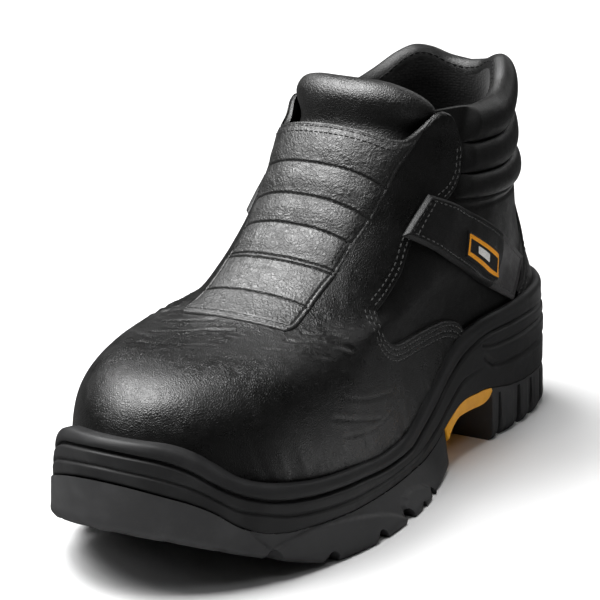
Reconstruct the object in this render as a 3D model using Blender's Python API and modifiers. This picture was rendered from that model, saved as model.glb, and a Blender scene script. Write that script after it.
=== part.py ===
"""Left safety boot: lugged rubber sole, hollow lasted upper, quilted instep flap, side straps, padded collar."""

import math

import bmesh
import bpy
import numpy as np
from mathutils import Matrix

MM = 0.001
HALF_LENGTH = 152.5
SEAM_GAP = 0.3
RIM_CLEAR = 1.2
OVERLAY_GAP = 0.45
STRAP_GAP = 0.7
SHELL_WALL = 2.2
VAMP_WALL = 1.8
PATCH_WALL = 1.2
PATCH_LIFT = 3.0
COUNTER_WALL = 2.0
FLAP_WALL = 2.5
STRAP_WALL = 2.4
LABEL_WALL = 0.8
INSOLE_THICK = 4.0
COLUMNS = 62
ANGLES = np.linspace(0, 2 * math.pi, COLUMNS, endpoint=False)

# Sole outline seen from above: station from the heel back, then half widths to each side.
OUTLINE = {
    0: (0.0, 0.0),
    10: (26.5, 26.5),
    25: (36.0, 36.0),
    45: (40.0, 39.5),
    75: (41.0, 40.0),
    105: (41.5, 39.0),
    135: (43.5, 38.5),
    165: (48.5, 41.5),
    195: (53.0, 47.0),
    220: (55.0, 51.0),
    242: (53.5, 51.0),
    262: (48.5, 47.0),
    280: (38.5, 39.0),
    293: (27.5, 28.5),
    301: (16.5, 17.0),
    305: (0.0, 0.0),
}

# Heights of the lines that run along the side of the sole.
# Station: top of the tread, ridge, groove under the rim, rim.
SIDE_LINES = {
    0: (18.6, 36.0, 44.5, 57.0),
    26: (18.4, 36.0, 45.5, 56.0),
    60: (19.5, 35.5, 46.5, 54.5),
    90: (24.4, 34.4, 46.0, 54.0),
    108: (24.0, 32.0, 41.0, 50.6),
    117: (20.3, 27.2, 36.2, 46.2),
    128: (14.6, 20.6, 28.6, 39.1),
    139: (11.4, 16.4, 23.4, 32.7),
    156: (11.0, 15.0, 19.0, 26.5),
    173: (11.5, 15.5, 19.5, 25.5),
    208: (13.8, 18.4, 23.8, 29.6),
    244: (17.0, 22.6, 27.9, 34.0),
    256: (18.1, 24.6, 29.9, 36.2),
    266: (20.3, 27.6, 32.5, 38.6),
    276: (24.0, 31.3, 36.9, 42.8),
    284: (27.4, 37.5, 42.6, 49.2),
    290: (30.7, 42.0, 47.7, 54.0),
    297: (33.9, 45.9, 52.1, 58.0),
    305: (37.0, 49.6, 55.4, 60.0),
}
TREAD_TOP, RIDGE, GROOVE, RIM = range(4)

# Undersides of the three tread pieces: station, height.
HEEL_BOTTOM = {0: 8.0, 8: 4.0, 16: 0.0, 24: 0.0, 305: 0.0}
ARCH_BOTTOM = {0: 19.8, 80: 19.8, 88: 19.8, 102: 18.3, 116: 14.2, 126: 8.0, 134: 8.0, 305: 8.0}
FOREFOOT_BOTTOM = {0: 0.0, 225: 0.0, 232: 0.4, 244: 3.0, 258: 7.5, 272: 12.5, 285: 17.5, 295: 21.5, 305: 25.0}
HEEL_BREAST = 79.4
# Seat of the upper on the sole: station, height.
SEAT = {
    0: 30.0, 60: 31.0, 90: 31.4, 110: 29.5, 125: 25.5, 140: 22.0,
    165: 20.3, 200: 21.4, 240: 24.6, 265: 28.9, 285: 33.5, 305: 37.2,
}
ARCH_FRONT = 122.0

# Side of the midsole from its lower edge to the top of the rim:
# line it follows, height above that line, inset from the sole outline.
MIDSOLE_SIDE = (
    (TREAD_TOP, 0.3, 1.6),
    (TREAD_TOP, 2.0, 0.3),
    (RIDGE, -1.2, 0.2),
    (RIDGE, 0.0, 1.3),
    (RIDGE, 1.2, 0.5),
    (GROOVE, -1.2, 1.2),
    (GROOVE, 0.0, 3.0),
    (GROOVE, 1.0, 2.0),
    (RIM, -3.0, 2.0),
    (RIM, -1.0, 2.8),
    (RIM, 0.0, 4.2),
)

# Side of the tread: share of its height, inset from the sole outline.
TREAD_SIDE = ((0.0, 2.4), (0.12, 0.6), (0.45, 0.2), (1.0, 0.5))
# Flare of the tread's lower edge on the lateral side: station, distance out.
TREAD_FLARE = {
    0: 0.0, 100: 0.0, 118: 1.0, 128: 4.0, 140: 7.0, 152: 8.0, 170: 9.0,
    190: 8.5, 204: 7.4, 218: 5.0, 232: 3.0, 245: 1.3, 262: 0.0, 305: 0.0,
}

# Lug grooves of the forefoot and of the heel: station, width along the foot, slant in degrees.
FOREFOOT_GROOVES = (
    (153, 4.5, -8),
    (180, 5.0, -4),
    (204, 5.0, 0),
    (234, 5.5, 6),
    (262, 6.0, 14),
)
HEEL_GROOVES = ((36, 4.0, -8), (54, 4.0, 0), (71, 4.0, 0))
FOREFOOT_GROOVE_DEPTH = 5.0
HEEL_GROOVE_DEPTH = 12.0
GROOVE_REACH = 30.0

# Rings of the lasted upper, sole to mouth: back y, front y, lateral and medial half widths,
# share of the foot outline in the plan shape, squareness of the oval's front,
# heights at back and front, drop along the sides.
UPPER_RINGS = {
    "feather": (141.0, -138.5, 46.5, 43.0, 1.00, 2.2, 30.0, 35.0, 10.0),
    "bite": (143.0, -140.0, 48.0, 44.5, 1.00, 2.2, 40.0, 45.8, 9.0),
    "rim": (144.5, -139.5, 48.0, 44.5, 1.00, 2.2, 50.8, 55.8, 6.0),
    "toe wall": (143.5, -134.5, 46.8, 43.8, 0.95, 2.2, 58.8, 66.5, 4.0),
    "toe roof": (142.0, -119.0, 44.5, 42.5, 0.80, 2.2, 64.9, 75.0, 2.0),
    "vamp": (140.5, -92.7, 43.0, 42.0, 0.60, 2.2, 69.9, 77.3, 0.0),
    "instep low": (139.0, -67.5, 42.0, 39.0, 0.40, 2.3, 76.0, 80.0, 0.0),
    "instep": (137.0, -45.5, 41.0, 38.0, 0.20, 2.6, 83.0, 88.0, 0.0),
    "throat": (134.8, -29.0, 40.0, 37.5, 0.10, 2.7, 92.1, 97.8, 0.0),
    "flap low": (133.6, -14.5, 38.2, 37.0, 0.00, 2.6, 103.2, 111.3, 0.0),
    "flap middle": (130.2, -1.5, 36.4, 35.6, 0.00, 2.6, 116.2, 127.0, 0.0),
    "flap high": (128.0, 11.0, 35.0, 35.0, 0.00, 2.6, 131.2, 142.2, 0.0),
    "collar": (127.3, 20.5, 34.0, 34.5, 0.00, 2.5, 146.2, 154.3, 0.0),
    "lip": (127.3, 27.5, 34.0, 34.5, 0.00, 2.4, 159.2, 164.6, 0.0),
}
LAST_RING = len(UPPER_RINGS) - 1
BACK_SQUARENESS = 2.2
# Rows shared by the upper and its overlays, so that their facets stay parallel.
ROW_LEVELS = np.array([0, 1, 1.6, 2.2, 2.6, 3, 3.4, 3.8, 4.3, 5, 6, 7])
THROAT_HEIGHT = 101.0

# Collar: angle round the shaft in degrees from the front, height of lower edge, height of rim.
COLLAR_EDGES = {
    55: (115.0, 147.0),
    72: (111.6, 146.0),
    90: (107.6, 144.0),
    105: (105.3, 144.0),
    118: (104.2, 147.0),
    131: (103.8, 152.0),
    143: (103.7, 154.4),
    154: (103.6, 153.2),
    167: (103.6, 150.0),
    180: (103.6, 148.5),
}
# Cross-section of the collar: share of its height, distance out from the upper's surface.
COLLAR_SECTION = (
    (0.00, 0.2), (0.04, 2.4), (0.13, 4.2), (0.22, 2.6), (0.27, 0.6),
    (0.33, 2.6), (0.43, 4.2), (0.54, 2.6), (0.60, 0.6),
    (0.66, 2.6), (0.80, 4.2), (0.94, 2.4), (1.00, -0.8),
    (0.98, -4.6), (0.86, -7.2), (0.50, -8.0), (0.12, -6.6), (0.00, -2.2),
)
COLLAR_ANGLES = np.r_[0.88, 1.0, np.linspace(1.06, math.pi, 16)]
# Under the flap the collar stays below this distance out; it swells to its full rolls beyond.
COLLAR_TUCK = -0.4
COLLAR_SWELL = (1.34, 1.47)

# Instep flap and patch, sole to mouth: height on the centre line, level of the side edges;
# for the flap also the half angle that it spans.
FLAP_ROWS = (
    (97.0, 6.1, 0.98), (105.5, 7.3, 0.98), (115.5, 8.5, 1.01),
    (126.0, 9.6, 1.32), (135.5, 10.5, 1.33), (143.2, 11.4, 1.07),
)
PATCH_ROWS = ((80.7, 5.6), (85.5, 6.3), (90.0, 6.85), (94.8, 7.35))
FLAP_ANGLE = 0.98
# How far the flap's side edges stand off the upper beyond the plain gap.
FLAP_SPREAD = 0.3
PATCH_ANGLES = (-0.36, 0.52)

# Upper edge of the vamp below the flap: y and z along one side.
VAMP_EDGE = (
    (-22.6, 74.4), (-18.6, 68.6), (-9.1, 65.0), (4.7, 64.0),
    (25.8, 62.6), (38.3, 61.3), (49.0, 57.6), (54.0, 55.0),
)
# Front edge of the heel counter, from the sole rim up to the collar: y and z.
COUNTER_EDGE = ((103.0, 57.5), (109.0, 60.0), (114.0, 63.0), (121.0, 70.0), (127.0, 82.0), (129.5, 100.0))

# Straps: y and z of the corners, and the lift of the end that lies on the flap.
STRAP_CORNERS = {
    "front low": (5.0, 104.0), "front high": (22.5, 114.5),
    "rear low": (98.5, 57.0), "rear high": (113.5, 66.0),
}
STRAP_LIFT = 2.9
# Woven label: shares of the strap's length and width that it spans.
LABEL_ALONG = (0.30, 0.66)
LABEL_ACROSS = (0.2, 0.82)

# Tongue: height on the centre line, half angle, drop of the side edges in levels,
# distance out of its face, thickness.
TONGUE_ROWS = (
    (103.0, 0.62, 0.0, -2.7, 3.0),
    (115.0, 0.72, 0.0, -2.7, 3.5),
    (128.0, 0.78, 0.1, -2.7, 4.5),
    (140.0, 0.79, 0.3, -2.7, 5.5),
    (148.0, 0.79, 0.5, -1.2, 8.0),
    (154.0, 0.79, 0.7, -0.2, 9.0),
    (159.5, 0.76, 0.9, -1.2, 7.5),
    (162.5, 0.70, 1.0, -3.4, 4.0),
)

LEATHER = (0.012, 0.012, 0.013, 1.0)
RUBBER = (0.035, 0.036, 0.038, 1.0)
LINING = (0.02, 0.02, 0.02, 1.0)
YELLOW = (0.75, 0.30, 0.03, 1.0)


def smooth(x, table_x, table_y):
    """Cubic interpolation of a table; table_y may hold several columns."""
    xs = np.asarray(table_x, float)
    ys = np.asarray(table_y, float)
    slopes = np.gradient(ys, xs, axis=0)
    rises = np.diff(ys, axis=0)
    slopes[1:-1] = np.where(rises[:-1] * rises[1:] <= 0, 0, slopes[1:-1])
    x = np.clip(np.asarray(x, float), xs[0], xs[-1])
    i = np.clip(np.searchsorted(xs, x) - 1, 0, len(xs) - 2)
    step = xs[i + 1] - xs[i]
    u = (x - xs[i]) / step
    if ys.ndim > 1:
        u = u[..., None]
        step = step[..., None]
    start = (1 + 2 * u) * (1 - u) ** 2 * ys[i] + u * (1 - u) ** 2 * step * slopes[i]
    end = u * u * (3 - 2 * u) * ys[i + 1] - u * u * (1 - u) * step * slopes[i + 1]
    return start + end


def blend(x, low, high):
    u = np.clip((x - low) / (high - low), 0, 1)
    return u * u * (3 - 2 * u)


def table_columns(table):
    return list(table), np.array([np.atleast_1d(row) for row in table.values()])


def line_height(table, station, column=0):
    stations, values = table_columns(table)
    return smooth(station, stations, values[:, column])


def foot_half_width(angle):
    """Half width of the sole outline; angle 0 is the toe, pi the heel, negative the medial side."""
    stations, widths = table_columns(OUTLINE)
    turn = np.arccos(np.clip((np.array(stations) - HALF_LENGTH) / HALF_LENGTH, -1, 1))[::-1]
    both = smooth(np.abs(angle), turn, widths[::-1])
    return np.where(angle >= 0, both[..., 0], both[..., 1])


def sole_point(angle, inset):
    """Point of the sole outline in plan, moved in by an inset along the outline's normal."""
    def outline(a):
        wrapped = (a + math.pi) % (2 * math.pi) - math.pi
        x = np.where(wrapped >= 0, 1, -1) * foot_half_width(wrapped)
        return np.stack([x, -HALF_LENGTH * np.cos(wrapped)], -1)

    run = outline(angle + 1e-3) - outline(angle - 1e-3)
    run /= np.linalg.norm(run, axis=-1, keepdims=True)
    outward = np.stack([run[..., 1], -run[..., 0]], -1)
    return outline(angle) - np.asarray(inset)[..., None] * outward


def upper_base(angle, level):
    """Point of the lasted surface; level counts the rings of the table from the sole up."""
    angle, level = np.broadcast_arrays(np.asarray(angle, float), np.asarray(level, float))
    wrapped = (angle + math.pi) % (2 * math.pi) - math.pi
    rings = np.array(list(UPPER_RINGS.values())).T.reshape((9, -1) + (1,) * angle.ndim)
    back, front, lateral, medial, foot, nose, z_back, z_front, drop = rings
    share = (1 + np.cos(wrapped)) / 2
    is_lateral = wrapped >= 0
    widest = np.where(is_lateral, 55.0, 51.0)
    half = np.where(is_lateral, lateral, medial)
    square = np.where(np.cos(wrapped) > 0, nose, BACK_SQUARENESS)
    oval = (1 - np.abs(np.cos(wrapped)) ** square) ** (1 / square)
    plan = foot * foot_half_width(wrapped) / widest + (1 - foot) * oval
    x = np.where(is_lateral, 1, -1) * half * plan
    y = back + (front - back) * share
    z = z_back + (z_front - z_back) * share - drop * np.sin(wrapped) ** 2
    z[0] = line_height(SEAT, HALF_LENGTH - y[0])
    points = np.stack([x, y, z], -1)

    level = np.clip(level, 0, LAST_RING)
    i = np.clip(level.astype(int), 0, LAST_RING - 1)
    u = (level - i)[..., None]
    slopes = np.gradient(points, axis=0)
    pick = np.indices(i.shape)
    a, b = points[(i, *pick)], points[(i + 1, *pick)]
    slope_a, slope_b = slopes[(i, *pick)], slopes[(i + 1, *pick)]
    start = (1 + 2 * u) * (1 - u) ** 2 * a + u * (1 - u) ** 2 * slope_a
    end = u * u * (3 - 2 * u) * b - u * u * (1 - u) * slope_b
    return start + end


def upper_point(angle, level, out=0.0):
    """Point at a distance out from the lasted surface."""
    step = 2e-3
    along = upper_base(angle + step, level) - upper_base(angle - step, level)
    level = np.clip(level, step, LAST_RING - step)
    rising = upper_base(angle, level + step) - upper_base(angle, level - step)
    normal = np.cross(along, rising)
    normal /= np.linalg.norm(normal, axis=-1, keepdims=True)
    out = np.broadcast_to(np.asarray(out, float), normal.shape[:-1])
    return upper_base(angle, level) + out[..., None] * normal


def level_at_height(angle, z):
    """Level of the lasted surface where it reaches a height."""
    angle, z = np.broadcast_arrays(np.asarray(angle, float), np.asarray(z, float))
    levels = np.linspace(0, LAST_RING, 40 * LAST_RING + 1)
    heights = upper_base(angle[..., None], levels)[..., 2]
    found = [np.interp(height, column, levels) for height, column in
             zip(z.ravel(), heights.reshape(-1, len(levels)))]
    return np.array(found).reshape(z.shape)


def surface_at(y, z, side=1):
    """Angle and level of the place on one side that has this y and z."""
    angles, levels = np.meshgrid(np.linspace(0.02, math.pi - 0.02, 90), np.linspace(0, LAST_RING, 130))
    coarse = upper_base(side * angles, levels)
    y, z = np.broadcast_arrays(np.asarray(y, float), np.asarray(z, float))
    angle, level = np.empty(y.shape), np.empty(y.shape)
    for index in np.ndindex(y.shape):
        near = np.argmin((coarse[..., 1] - y[index]) ** 2 + (coarse[..., 2] - z[index]) ** 2)
        a, t = side * angles.flat[near], levels.flat[near]
        for _ in range(8):
            here = upper_base(a, t)[1:]
            by_angle = (upper_base(a + 1e-4, t)[1:] - here) / 1e-4
            by_level = (upper_base(a, t + 1e-4)[1:] - here) / 1e-4
            change = np.linalg.solve(np.stack([by_angle, by_level], 1), [y[index], z[index]] - here)
            a, t = a + change[0], t + change[1]
        angle[index], level[index] = a, t
    return angle, level


def rim_station(angle):
    return HALF_LENGTH * (1 + np.cos(angle))


def rim_height(angle):
    return line_height(SIDE_LINES, rim_station(angle), RIM)


def material(name, colour, roughness):
    made = bpy.data.materials.new(name)
    made.use_nodes = True
    shader = made.node_tree.nodes["Principled BSDF"]
    shader.inputs["Base Color"].default_value = colour
    shader.inputs["Roughness"].default_value = roughness
    return made


def add_object(name, points, faces, look, collection="safety_boot"):
    mesh = bpy.data.meshes.new(name)
    mesh.from_pydata((np.asarray(points).reshape(-1, 3) * MM).tolist(), [], faces)
    made = bpy.data.objects.new(name, mesh)
    bpy.data.collections[collection].objects.link(made)
    if look:
        mesh.materials.append(look)
    return made


def outward_normals(made):
    work = bmesh.new()
    work.from_mesh(made.data)
    bmesh.ops.recalc_face_normals(work, faces=work.faces)
    work.to_mesh(made.data)
    work.free()


def sheet(name, grid, wall, look, closed=False):
    """Skin of a grid of points, thickened outward by a positive wall and inward by a negative one."""
    rows, columns = grid.shape[:2]
    last = rows if closed else rows - 1
    faces = []
    for i in range(last):
        for j in range(columns - 1):
            k = (i + 1) % rows
            faces.append((i * columns + j, k * columns + j, k * columns + j + 1, i * columns + j + 1))
    made = add_object(name, grid, faces, look)
    work = bmesh.new()
    work.from_mesh(made.data)
    bmesh.ops.remove_doubles(work, verts=work.verts, dist=0.02 * MM)
    work.to_mesh(made.data)
    work.free()
    thicken = made.modifiers.new("wall", "SOLIDIFY")
    thicken.thickness = abs(wall) * MM
    thicken.offset = 1 if wall > 0 else -1
    thicken.use_even_offset = True
    return made


def ladder(offset, columns):
    """Faces that close a ring from side to side, facing up."""
    faces = []
    for i in range(columns // 2):
        loop = [i, i + 1, columns - i - 1, (columns - i) % columns]
        corners = list(dict.fromkeys(loop))
        faces.append([offset + corner for corner in corners])
    return faces


def ring_solid(name, rings, look):
    """Solid of stacked rings, closed from side to side at the first and last ring."""
    count, columns = rings.shape[:2]
    faces = [loop[::-1] for loop in ladder(0, columns)] + ladder((count - 1) * columns, columns)
    for k in range(count - 1):
        for i in range(columns):
            n = (i + 1) % columns
            faces.append((k * columns + i, k * columns + n, (k + 1) * columns + n, (k + 1) * columns + i))
    made = add_object(name, rings, faces, look)
    outward_normals(made)
    return made


def loop_solid(name, loops, look):
    """Solid swept through closed loops of points, with both end loops filled."""
    count, around = loops.shape[:2]
    faces = [list(range(around)), [(count - 1) * around + j for j in reversed(range(around))]]
    for i in range(count - 1):
        for j in range(around):
            n = (j + 1) % around
            faces.append((i * around + j, i * around + n, (i + 1) * around + n, (i + 1) * around + j))
    made = add_object(name, loops, faces, look)
    outward_normals(made)
    return made


def keep_between(made, station_from, station_to):
    """Cut a solid at two stations of the foot and close the cuts."""
    work = bmesh.new()
    work.from_mesh(made.data)
    for station, facing in ((station_from, 1), (station_to, -1)):
        parts = work.verts[:] + work.edges[:] + work.faces[:]
        place = (0, (HALF_LENGTH - station) * MM, 0)
        cut = bmesh.ops.bisect_plane(work, geom=parts, plane_co=place, plane_no=(0, facing, 0),
                                     clear_outer=True, dist=1e-7)
        edges = [part for part in cut["geom_cut"] if isinstance(part, bmesh.types.BMEdge)]
        if edges:
            bmesh.ops.edgeloop_fill(work, edges=edges)
    bmesh.ops.recalc_face_normals(work, faces=work.faces)
    work.to_mesh(made.data)
    work.free()


def groove_cutter(name, grooves, bottom, depth):
    """Boxes that cut the lug grooves in from both sides."""
    work = bmesh.new()
    for station, width, slant in grooves:
        turn = math.acos((station - HALF_LENGTH) / HALF_LENGTH)
        for side in (1, -1):
            edge = side * float(foot_half_width(np.array(side * turn)))
            length = GROOVE_REACH + 12
            height = float(line_height(bottom, station)) + depth / 2 - 5
            middle = (edge - side * (GROOVE_REACH - 12) / 2, HALF_LENGTH - station, height)
            box = Matrix.Translation([value * MM for value in middle])
            box @= Matrix.Rotation(math.radians(side * slant), 4, "Z")
            box @= Matrix.Diagonal([length * MM, width * MM, (depth + 10) * MM, 1])
            bmesh.ops.create_cube(work, size=1, matrix=box)
    mesh = bpy.data.meshes.new(name)
    work.to_mesh(mesh)
    work.free()
    cutter = bpy.data.objects.new(name, mesh)
    bpy.data.collections["cutters"].objects.link(cutter)
    cutter.hide_render = True
    cutter.display_type = "WIRE"
    return cutter


def tread(name, bottom, station_from, station_to, look, grooves=(), depth=0.0):
    angle = ANGLES
    station = rim_station(angle)
    low = line_height(bottom, station)
    top = line_height(SIDE_LINES, station, TREAD_TOP)
    low = np.minimum(low, top - 1.5)
    flare = np.where(np.sin(angle) > 0, line_height(TREAD_FLARE, station), 0)
    rings = []
    for share, inset in TREAD_SIDE:
        edge = sole_point(angle, inset - (1 - share) * flare)
        rings.append(np.c_[edge, low + share * (top - low)])
    made = ring_solid(name, np.array(rings), look)
    keep_between(made, station_from, station_to)
    if grooves:
        cut = made.modifiers.new("grooves", "BOOLEAN")
        cut.object = groove_cutter(name + "_grooves", grooves, bottom, depth)
        cut.solver = "EXACT"


def midsole(look):
    angle = ANGLES
    station = rim_station(angle)
    rings = []
    for line, rise, inset in MIDSOLE_SIDE:
        rings.append(np.c_[sole_point(angle, inset), line_height(SIDE_LINES, station, line) + rise])
    at_rim = level_at_height(angle, rim_height(angle) - 0.8)
    for share in (1.0, 0.75, 0.5, 0.25, 0.0):
        rings.append(upper_point(angle, at_rim * share, OVERLAY_GAP))
    rings[-1] = rings[-1] - [0, 0, SEAM_GAP]
    ring_solid("midsole", np.array(rings), look)


def insole(look):
    angle = ANGLES
    edge = upper_point(angle, 0.0, -SHELL_WALL - 0.8)
    height = upper_base(angle, 0.0)[:, 2]
    rings = [np.c_[edge[:, :2], height + rise] for rise in (0.1, INSOLE_THICK)]
    ring_solid("insole", np.array(rings), look)


def collar_edge(angle, column):
    degrees, heights = table_columns(COLLAR_EDGES)
    wrapped = (angle + math.pi) % (2 * math.pi) - math.pi
    return smooth(np.degrees(np.abs(wrapped)), degrees, heights[:, column])


def upper(look):
    angle = ANGLES
    off_front = np.minimum(angle, 2 * math.pi - angle)
    at_collar = level_at_height(angle, collar_edge(angle, 0) - SEAM_GAP)
    at_throat = level_at_height(angle, THROAT_HEIGHT)
    top = at_throat + (at_collar - at_throat) * blend(off_front, 0.32, 0.84)
    top = np.minimum(top, at_collar)
    higher = ROW_LEVELS[-1] + (top - ROW_LEVELS[-1])[:, None] * np.linspace(0, 1, 5)[1:]
    level = np.c_[np.tile(ROW_LEVELS, (COLUMNS, 1)), higher]
    sheet("upper", upper_point(angle[:, None], level), -SHELL_WALL, look, closed=True)


def overlay(name, angle, low, top, wall, look):
    """Skin on the upper between a lower and an upper level at each angle."""
    rows = np.r_[ROW_LEVELS, np.arange(ROW_LEVELS[-1] + 0.5, LAST_RING, 0.5)]
    level = np.tile(rows, (len(angle), 1))
    level = np.where(level < low[:, None] + 0.12, low[:, None], level)
    level = np.where(level > top[:, None] - 0.12, top[:, None], level)
    sheet(name, upper_point(angle[:, None], level, OVERLAY_GAP), wall, look)


def collar(look):
    section = np.array(COLLAR_SECTION)
    share, out = section[:, 0], section[:, 1]
    angle = np.r_[COLLAR_ANGLES, 2 * math.pi - COLLAR_ANGLES[-2::-1]][:, None]
    tucked = 1 - blend(np.minimum(angle, 2 * math.pi - angle), *COLLAR_SWELL)
    out = out + np.minimum(0, COLLAR_TUCK - out) * tucked
    low = collar_edge(angle, 0)
    height = low + share * (collar_edge(angle, 1) - low)
    loop_solid("collar", upper_point(angle, level_at_height(angle, height), out), look)


def cross_rows(rows, angle_from, angle_to, columns):
    """Surface coordinates of strips that cross the instep from the medial to the lateral edge."""
    across = np.linspace(angle_from, angle_to, columns)
    centre = level_at_height(0.0, np.array([row[0] for row in rows]))
    edge = np.array([row[1] for row in rows])
    return across[:, None], centre + (edge - centre) * (across[:, None] / angle_to) ** 2


def flap(look):
    share = np.linspace(-1, 1, 21)[:, None]
    height, edge, half = np.array(FLAP_ROWS).T
    centre = level_at_height(0.0, height)
    level = centre + (edge - centre) * share ** 2
    lift = OVERLAY_GAP + FLAP_SPREAD * np.abs(share) ** 4
    sheet("flap", upper_point(share * half, level, lift), FLAP_WALL, look)


def instep_patch(look):
    angle, level = cross_rows(PATCH_ROWS, *PATCH_ANGLES, 11)
    sheet("instep_patch", upper_point(angle, level, PATCH_LIFT), PATCH_WALL, look)


def vamp(look):
    edge_angle, edge_level = surface_at(*np.array(VAMP_EDGE).T)
    seam_angle, seam_level = cross_rows(FLAP_ROWS[:1], 0, FLAP_ANGLE, 5)
    turn = np.r_[seam_angle[:-1, 0], edge_angle]
    top = np.r_[seam_level[:-1, 0] - 0.1, edge_level]
    half = np.r_[ANGLES[ANGLES < turn[-1]], turn[-1]]
    angle = np.r_[-half[:0:-1], half]
    low = level_at_height(angle, rim_height(angle) + RIM_CLEAR)
    overlay("vamp", angle, low, smooth(np.abs(angle), turn, top), VAMP_WALL, look)


def heel_counter(look):
    edge_angle, edge_level = surface_at(*np.array(COUNTER_EDGE).T)
    angle = ANGLES[(ANGLES > edge_angle[0]) & (ANGLES < 2 * math.pi - edge_angle[0])]
    off_front = np.minimum(angle, 2 * math.pi - angle)
    top = smooth(off_front, np.r_[edge_angle, math.pi], np.r_[edge_level, edge_level[-1]])
    top = np.minimum(top, level_at_height(angle, collar_edge(angle, 0) - 1.0))
    low = level_at_height(angle, rim_height(angle) + RIM_CLEAR)
    overlay("heel_counter", angle, low, np.maximum(top, low + 0.2), COUNTER_WALL, look)


def strap_grid(along, across, side, raised):
    """Points of a strap; along and across run from 0 to 1 between its corners."""
    front_low, front_high, rear_low, rear_high = np.array(list(STRAP_CORNERS.values()))
    u, v = np.meshgrid(along, across, indexing="ij")
    u, v = u[..., None], v[..., None]
    low = front_low + (rear_low - front_low) * u
    high = front_high + (rear_high - front_high) * u
    place = low + (high - low) * v
    angle, level = surface_at(place[..., 0], place[..., 1], side)
    lift = STRAP_LIFT * (1 - blend(u[..., 0], 0.12, 0.32))
    grid = upper_point(angle, level, STRAP_GAP + lift + raised)
    return grid[::side]


def strap(name, side, look):
    sheet(name, strap_grid(np.linspace(0, 1, 14), np.linspace(0, 1, 4), side, 0.0), STRAP_WALL, look)


def label(look):
    grid = strap_grid(np.linspace(*LABEL_ALONG, 6), np.linspace(*LABEL_ACROSS, 3), 1, STRAP_WALL + SEAM_GAP)
    sheet("label", grid, LABEL_WALL, look)


def tongue(look):
    across = np.linspace(-1, 1, 13)
    loops = []
    for centre, half_angle, drop, out, thick in TONGUE_ROWS:
        angle = across * half_angle
        level = level_at_height(0.0, centre) - drop * across ** 2
        taper = np.where(np.abs(across) == 1, 0.25, 1.0)
        face = upper_point(angle, level, out - thick * (1 - taper) / 2)
        lining = upper_point(angle, level, out - thick * (1 + taper) / 2)
        loops.append(np.r_[face, lining[::-1]])
    loop_solid("tongue", np.array(loops), look)


def centre_on_origin():
    """Shift the whole boot so that the middle of its footprint is the origin."""
    places = [vertex.co for made in bpy.data.collections["safety_boot"].objects for vertex in made.data.vertices]
    low, high = np.min(places, axis=0), np.max(places, axis=0)
    shift = Matrix.Translation([-(low[0] + high[0]) / 2, -(low[1] + high[1]) / 2, -low[2]])
    for made in bpy.data.objects:
        made.data.transform(shift)


for old in list(bpy.data.objects):
    bpy.data.objects.remove(old, do_unlink=True)
for group in ("safety_boot", "cutters"):
    bpy.context.scene.collection.children.link(bpy.data.collections.new(group))

tread("outsole_heel", HEEL_BOTTOM, 0, HEEL_BREAST, material("heel_rubber", RUBBER, 0.6),
      HEEL_GROOVES, HEEL_GROOVE_DEPTH)
tread("outsole_forefoot", FOREFOOT_BOTTOM, ARCH_FRONT, 305, material("forefoot_rubber", RUBBER, 0.6),
      FOREFOOT_GROOVES, FOREFOOT_GROOVE_DEPTH)
tread("arch_insert", ARCH_BOTTOM, HEEL_BREAST + SEAM_GAP, ARCH_FRONT - SEAM_GAP,
      material("arch_plastic", YELLOW, 0.45))
midsole(material("midsole_rubber", RUBBER, 0.55))
insole(material("insole_cloth", LINING, 0.9))
upper(material("upper_leather", LEATHER, 0.5))
tongue(material("tongue_leather", LEATHER, 0.5))
collar(material("collar_leather", LEATHER, 0.4))
vamp(material("vamp_leather", LEATHER, 0.35))
heel_counter(material("counter_leather", LEATHER, 0.4))
flap(material("flap_leather", LEATHER, 0.5))
instep_patch(material("patch_leather", LEATHER, 0.5))
strap("strap_lateral", 1, material("lateral_strap_leather", LEATHER, 0.4))
strap("strap_medial", -1, material("medial_strap_leather", LEATHER, 0.4))
label(material("label_cloth", LINING, 0.8))
centre_on_origin()
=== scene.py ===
"""Left safety boot: leather upper with a quilted flap, straps and a padded collar on a lugged rubber sole."""

import math

import bpy
import numpy as np
from mathutils import Euler, Matrix, Vector


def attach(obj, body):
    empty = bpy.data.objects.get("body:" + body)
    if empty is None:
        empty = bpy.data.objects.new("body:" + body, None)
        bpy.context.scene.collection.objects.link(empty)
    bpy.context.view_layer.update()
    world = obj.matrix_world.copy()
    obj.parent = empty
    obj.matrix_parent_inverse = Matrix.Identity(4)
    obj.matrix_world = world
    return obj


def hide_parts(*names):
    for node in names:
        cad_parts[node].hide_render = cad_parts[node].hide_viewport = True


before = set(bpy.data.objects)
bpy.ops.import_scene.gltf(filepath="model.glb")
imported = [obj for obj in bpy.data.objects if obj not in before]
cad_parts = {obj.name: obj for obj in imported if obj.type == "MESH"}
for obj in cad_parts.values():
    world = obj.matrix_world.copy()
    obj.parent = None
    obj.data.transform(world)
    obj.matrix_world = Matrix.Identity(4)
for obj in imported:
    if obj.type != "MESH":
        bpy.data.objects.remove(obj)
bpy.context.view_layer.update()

# Everything below is in millimetres of the last's own frame; PLACE_X moves it to the boot's frame.
MM = 0.001
PLACE_X = -4.5295
HALF_LENGTH = 152.5
# Step of angle or level for slopes of the surfaces.
TINY_TURN = 4e-3

# Sole outline seen from above: station from the heel back, then half widths to each side.
OUTLINE = {
    0: (0.0, 0.0),
    10: (26.5, 26.5),
    25: (36.0, 36.0),
    45: (40.0, 39.5),
    75: (41.0, 40.0),
    105: (41.5, 39.0),
    135: (43.5, 38.5),
    165: (48.5, 41.5),
    195: (53.0, 47.0),
    220: (55.0, 51.0),
    242: (53.5, 51.0),
    262: (48.5, 47.0),
    280: (38.5, 39.0),
    293: (27.5, 28.5),
    301: (16.5, 17.0),
    305: (0.0, 0.0),
}

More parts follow.
